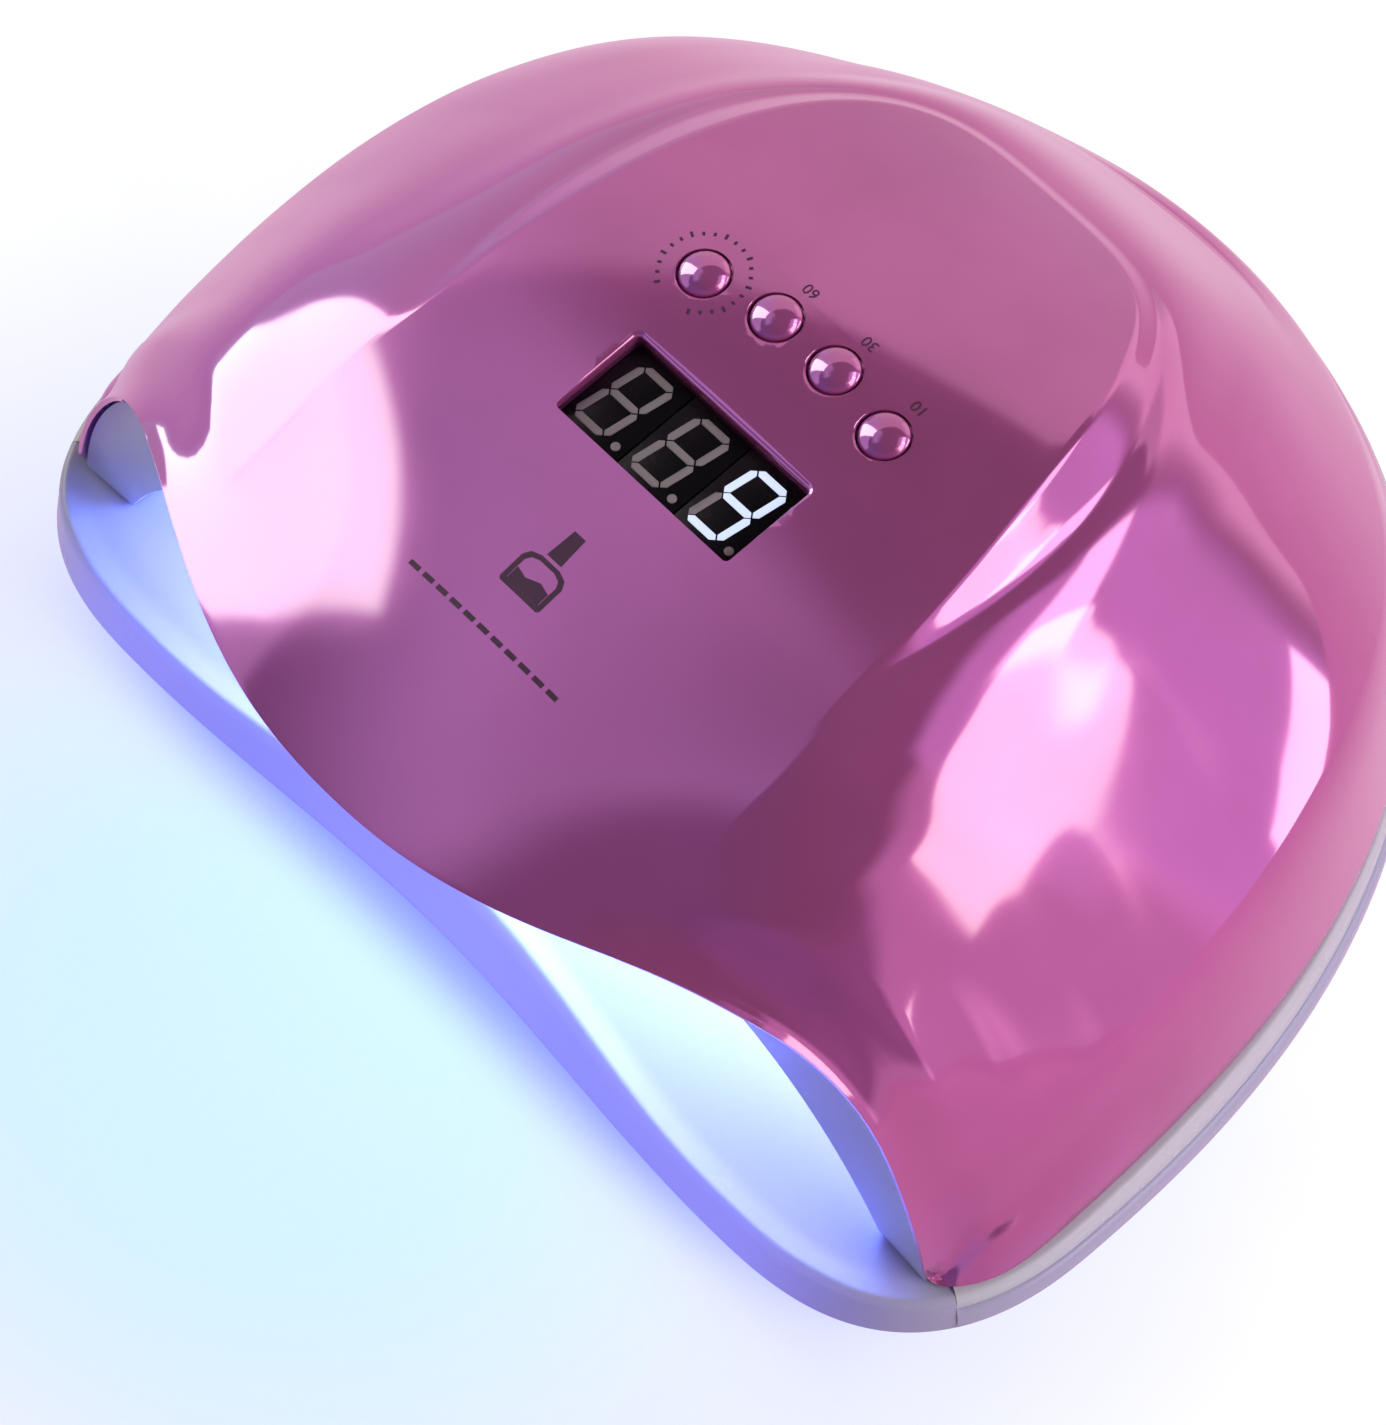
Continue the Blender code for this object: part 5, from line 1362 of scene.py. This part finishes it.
def floor_material():
    """Pale table top, on which the lamp's light pools before the opening."""
    n = material("floor_pale")
    position = n.new("NewGeometry").outputs["Position"]

    def pool(x, y, radii, squash):
        """Round mask that fades between two radii, its X scaled by squash."""
        scaled = n.vector("MULTIPLY", position, (squash, 1.0, 1.0))
        distance = n.vector("DISTANCE", scaled, (x * squash, y, 0.0))
        return n.span(distance, radii, (1.0, 0.0), "SMOOTHERSTEP")

    mottled = n.mix(n.vary(n.noise(scale=60.0, detail=2.0)), (1.0, 1.0, 1.0),
                    (0.985, 0.985, 0.99))
    wide = n.mix(pool(x=0.0, y=-0.085, radii=(0.075, 0.165), squash=0.95), mottled, WIDE_POOL)
    near = n.mix(pool(x=-0.004, y=-0.115, radii=(0.02, 0.085), squash=0.8), wide, NEAR_POOL)
    # a painted deeper blue glow of the lamp's light beneath the tray's front edge
    place = n.split(position)
    middle = n.span(n.math("ABSOLUTE", place["X"]), (0.045, 0.105), (1.0, 0.0), "SMOOTHSTEP")
    rim = n.span(place["Y"], (-0.092, -0.076), ease="SMOOTHERSTEP")
    ahead = n.span(place["Y"], (-0.05, 0.0), (1.0, 0.0))
    edge = n.math("MULTIPLY", n.math("MULTIPLY", middle, rim), ahead)
    tone = n.mix(edge, near, EDGE_GLOW_BLUE)
    n.set(Base_Color=near, Roughness=0.7, Specular_IOR_Level=0.1)
    ray = n.new("LightPath").outputs
    tint = n.mix(ray["Is Glossy Ray"], (1.0, 1.0, 1.0), FLOOR_IN_GLOSS)
    strength = n.span(ray["Is Diffuse Ray"], (0.0, 1.0), (FLOOR_TO_CAMERA, FLOOR_TO_MATT))
    emission = n.fill(n.new("Emission"), Color=n.vector("MULTIPLY", tone, tint),
                      Strength=strength)
    n.surface(n.mix_shader(0.86, n.main.outputs[0], emission.outputs[0]))
    return n.owner


def build_stage():
    mesh = bpy.data.meshes.new("floor")
    corners = ((-1, -1), (1, -1), (1, 1), (-1, 1))
    mesh.from_pydata([(x * FLOOR_HALF, y * FLOOR_HALF, FLOOR_Z) for x, y in corners], [],
                     [(0, 1, 2, 3)])
    floor = link("floor", mesh)
    mesh.materials.append(floor_material())


# ---------------------------------------------------------------- world
# Directions in degrees: azimuth 0 is the front (-Y) and 90 is +X; elevation 0 is level.
ROOM_TO_MATT = 0.34    # matt surfaces get a dimmer room than the lacquer mirrors
ROOM = (0.13, 0.11, 0.125)
WALL = dict(azimuth=-110.0, half=88.0, low=-20.0, top=58.0, droop=0.0035, soft=3.0)
WALL_COLOUR = (0.62, 0.56, 0.58)
# softboxes: azimuth, half width, lower and upper elevation, softness, lean of the lower edge
# (elevation per azimuth); colour
PANELS = (
    ((-81.5, 15.5, 3.0, 57.0, 0.8, 0.0), (2.9, 4.4, 2.6)),
    ((118.0, 17.0, 18.5, 43.0, 0.8, 0.42), (2.05, 3.1, 2.0)),
    ((141.0, 12.0, 28.5, 45.0, 1.5, 0.0), (2.0, 2.6, 2.1)),
    ((45.0, 52.0, -6.0, 5.0, 3.0, 0.0), (0.55, 0.42, 0.52)),
    ((138.5, 13.0, -13.0, 10.0, 0.8, 0.0), (2.3, 3.3, 2.5)),
    ((134.0, 20.0, -14.0, 57.0, 4.0, 0.0), (0.75, 0.60, 1.00)),
    ((103.0, 12.0, -6.0, 52.0, 4.0, 0.0), (0.62, 0.46, 0.62)),
    ((175.0, 18.0, -6.0, 24.0, 4.0, 0.0), (0.45, 0.36, 0.40)),
    ((-70.0, 40.0, 57.0, 72.0, 8.0, 0.0), (0.50, 0.50, 0.62)),
    ((20.0, 70.0, 5.0, 40.0, 12.0, 0.0), (0.10, 0.06, 0.14)),
)
UPPER_LEAN = 0.0


def build_world():
    """Studio as a function of direction: a dim room, a lighter wall on the -X side, softboxes."""
    world = bpy.data.worlds.new("studio")
    bpy.context.scene.world = world
    n = Nodes(world)
    direction = n.split(n.coords("Generated"))
    to_degrees = 180.0 / math.pi
    azimuth_here = n.math("MULTIPLY", n.math("ARCTAN2", direction["X"],
                                             n.math("MULTIPLY", direction["Y"], -1.0)), to_degrees)
    height = n.math("MINIMUM", n.math("MAXIMUM", direction["Z"], -1.0), 1.0)
    elevation = n.math("MULTIPLY", n.math("ARCSINE", height), to_degrees)

    def rising(value, edge, soft):
        return n.span(value, (edge - soft, edge + soft), ease="SMOOTHSTEP")

    def falling(value, edge, soft):
        return n.math("SUBTRACT", 1.0, rising(value, edge, soft))

    def across(azimuth, half, soft):
        """Azimuth from the middle, wrapped to +-180, and the mask of the width."""
        offset = n.math("WRAP", n.math("SUBTRACT", azimuth_here, azimuth), 180.0, -180.0)
        return offset, falling(n.math("ABSOLUTE", offset), half, soft)

    def panel(azimuth, half, low, high, soft, lean):
        """A softbox whose edges may lean."""
        offset, inside = across(azimuth, half, soft)

        def leaning(slope):
            return n.math("SUBTRACT", elevation, n.math("MULTIPLY", offset, slope))
        above = rising(leaning(lean), low, soft)
        below = falling(leaning(UPPER_LEAN), high, soft)
        return n.math("MULTIPLY", inside, n.math("MULTIPLY", above, below))

    def wall(azimuth, half, low, top, droop, soft):
        """A wall whose upper edge drops away from its middle."""
        offset, inside = across(azimuth, half, soft)
        above = rising(elevation, low, 2.0)
        drop = n.math("MULTIPLY", n.math("MULTIPLY", offset, offset), droop)
        edge = n.math("SUBTRACT", elevation, n.math("SUBTRACT", top, drop))
        return n.math("MULTIPLY", inside, n.math("MULTIPLY", above, falling(edge, 0.0, 0.8)))

    diffuse_ray = n.new("LightPath").outputs["Is Diffuse Ray"]
    parts = [(1.0, ROOM), (wall(**WALL), WALL_COLOUR)]
    parts += [(panel(*shape), colour) for shape, colour in PANELS]
    total = None
    for mask, colour in parts:
        light = n.mix(mask, (0, 0, 0), colour, clamp_factor=False)
        if colour[1] > max(colour[0], colour[2]):
            # matt surfaces are lit by the greenish softboxes in plain white
            level = sum(colour) / 3.0
            plain = n.mix(diffuse_ray, colour, (level, 0.96 * level, level))
            n.feed(light.node.inputs[7], plain)
        total = light if total is None else n.vector("ADD", total, light)
    n.set(Color=total, Strength=n.span(diffuse_ray, (0.0, 1.0), (1.0, ROOM_TO_MATT)))


# ---------------------------------------------------------------- lights and camera
UV_LOW, UV_HIGH = (0.13, 0.14, 1.0), (0.31, 0.60, 1.0)
# the light beads' output, carried by panels just inside the reflector:
# name, place before the set-back, width, depth, colour, power, aim
INSIDE_LIGHTS = (
    ("inside_roof", (0.0, -0.030, 0.0555), 0.070, 0.062, UV_HIGH, 0.42, (0, 0, -1)),
    ("inside_right", (0.066, -0.046, 0.036), 0.055, 0.016, UV_LOW, 0.08, (-1, -0.2, -0.5)),
    ("inside_left", (-0.066, -0.046, 0.036), 0.055, 0.016, UV_LOW, 0.09, (1, -0.2, -0.5)),
    ("inside_back", (0.0, 0.030, 0.034), 0.07, 0.016, UV_LOW, 0.20, (0, -1, -0.2)),
    ("from_tray", (0.0, -0.060, 0.013), 0.10, 0.040, UV_LOW, 0.10, (0, -0.25, 1)),
)
CAMERA_POSE = (
    (0.6762, -0.6368, 0.3706, 0.3553),
    (0.7367, 0.5841, -0.3407, -0.3666 + SET_BACK * MM),
    (0.0005, 0.5033, 0.8641, 0.8332),
    (0, 0, 0, 1),
)


def area(name, place, width, depth, colour, power, aim):
    """Area light without reflections; square where depth is None."""
    light = bpy.data.lights.new(name, "AREA")
    light.shape = "RECTANGLE" if depth else "SQUARE"
    light.size = width
    if depth:
        light.size_y = depth
    light.color, light.energy = colour, power
    lamp = link(name, light)
    lamp.location = place
    lamp.rotation_euler = Vector(aim).to_track_quat("-Z", "Y").to_euler()
    lamp.visible_glossy = False
    return lamp


def build_lights():
    for name, (x, y, z), *rest in INSIDE_LIGHTS:
        lamp = area(name, (x, y + SET_BACK * MM, z), *rest)
        lamp.parent = product["bodies"]["lamp"]
        lamp.visible_camera = False
    # room light from the +X side for the matt plastic parts
    area("room_right", place=(0.9, 0.15, 0.55), width=0.5, depth=None,
         colour=(1.0, 0.96, 0.98), power=4.0, aim=(-1.0, -0.12, -0.55))


def build_camera():
    lens = bpy.data.cameras.new("camera")
    lens.sensor_width, lens.lens = 36.0, 153.26
    lens.clip_start, lens.clip_end = 0.05, 20.0
    camera = link("camera", lens)
    camera.matrix_world = Matrix(CAMERA_POSE)
    bpy.context.scene.camera = camera


build_shell()
build_liner()
build_boards()
build_frame()
build_tray()
build_controls()
build_print()
build_jack()
finish_cad()
build_stage()
build_world()
build_lights()
build_camera()
bpy.context.scene.view_settings.view_transform = "Standard"
bpy.context.scene.view_settings.look = "None"
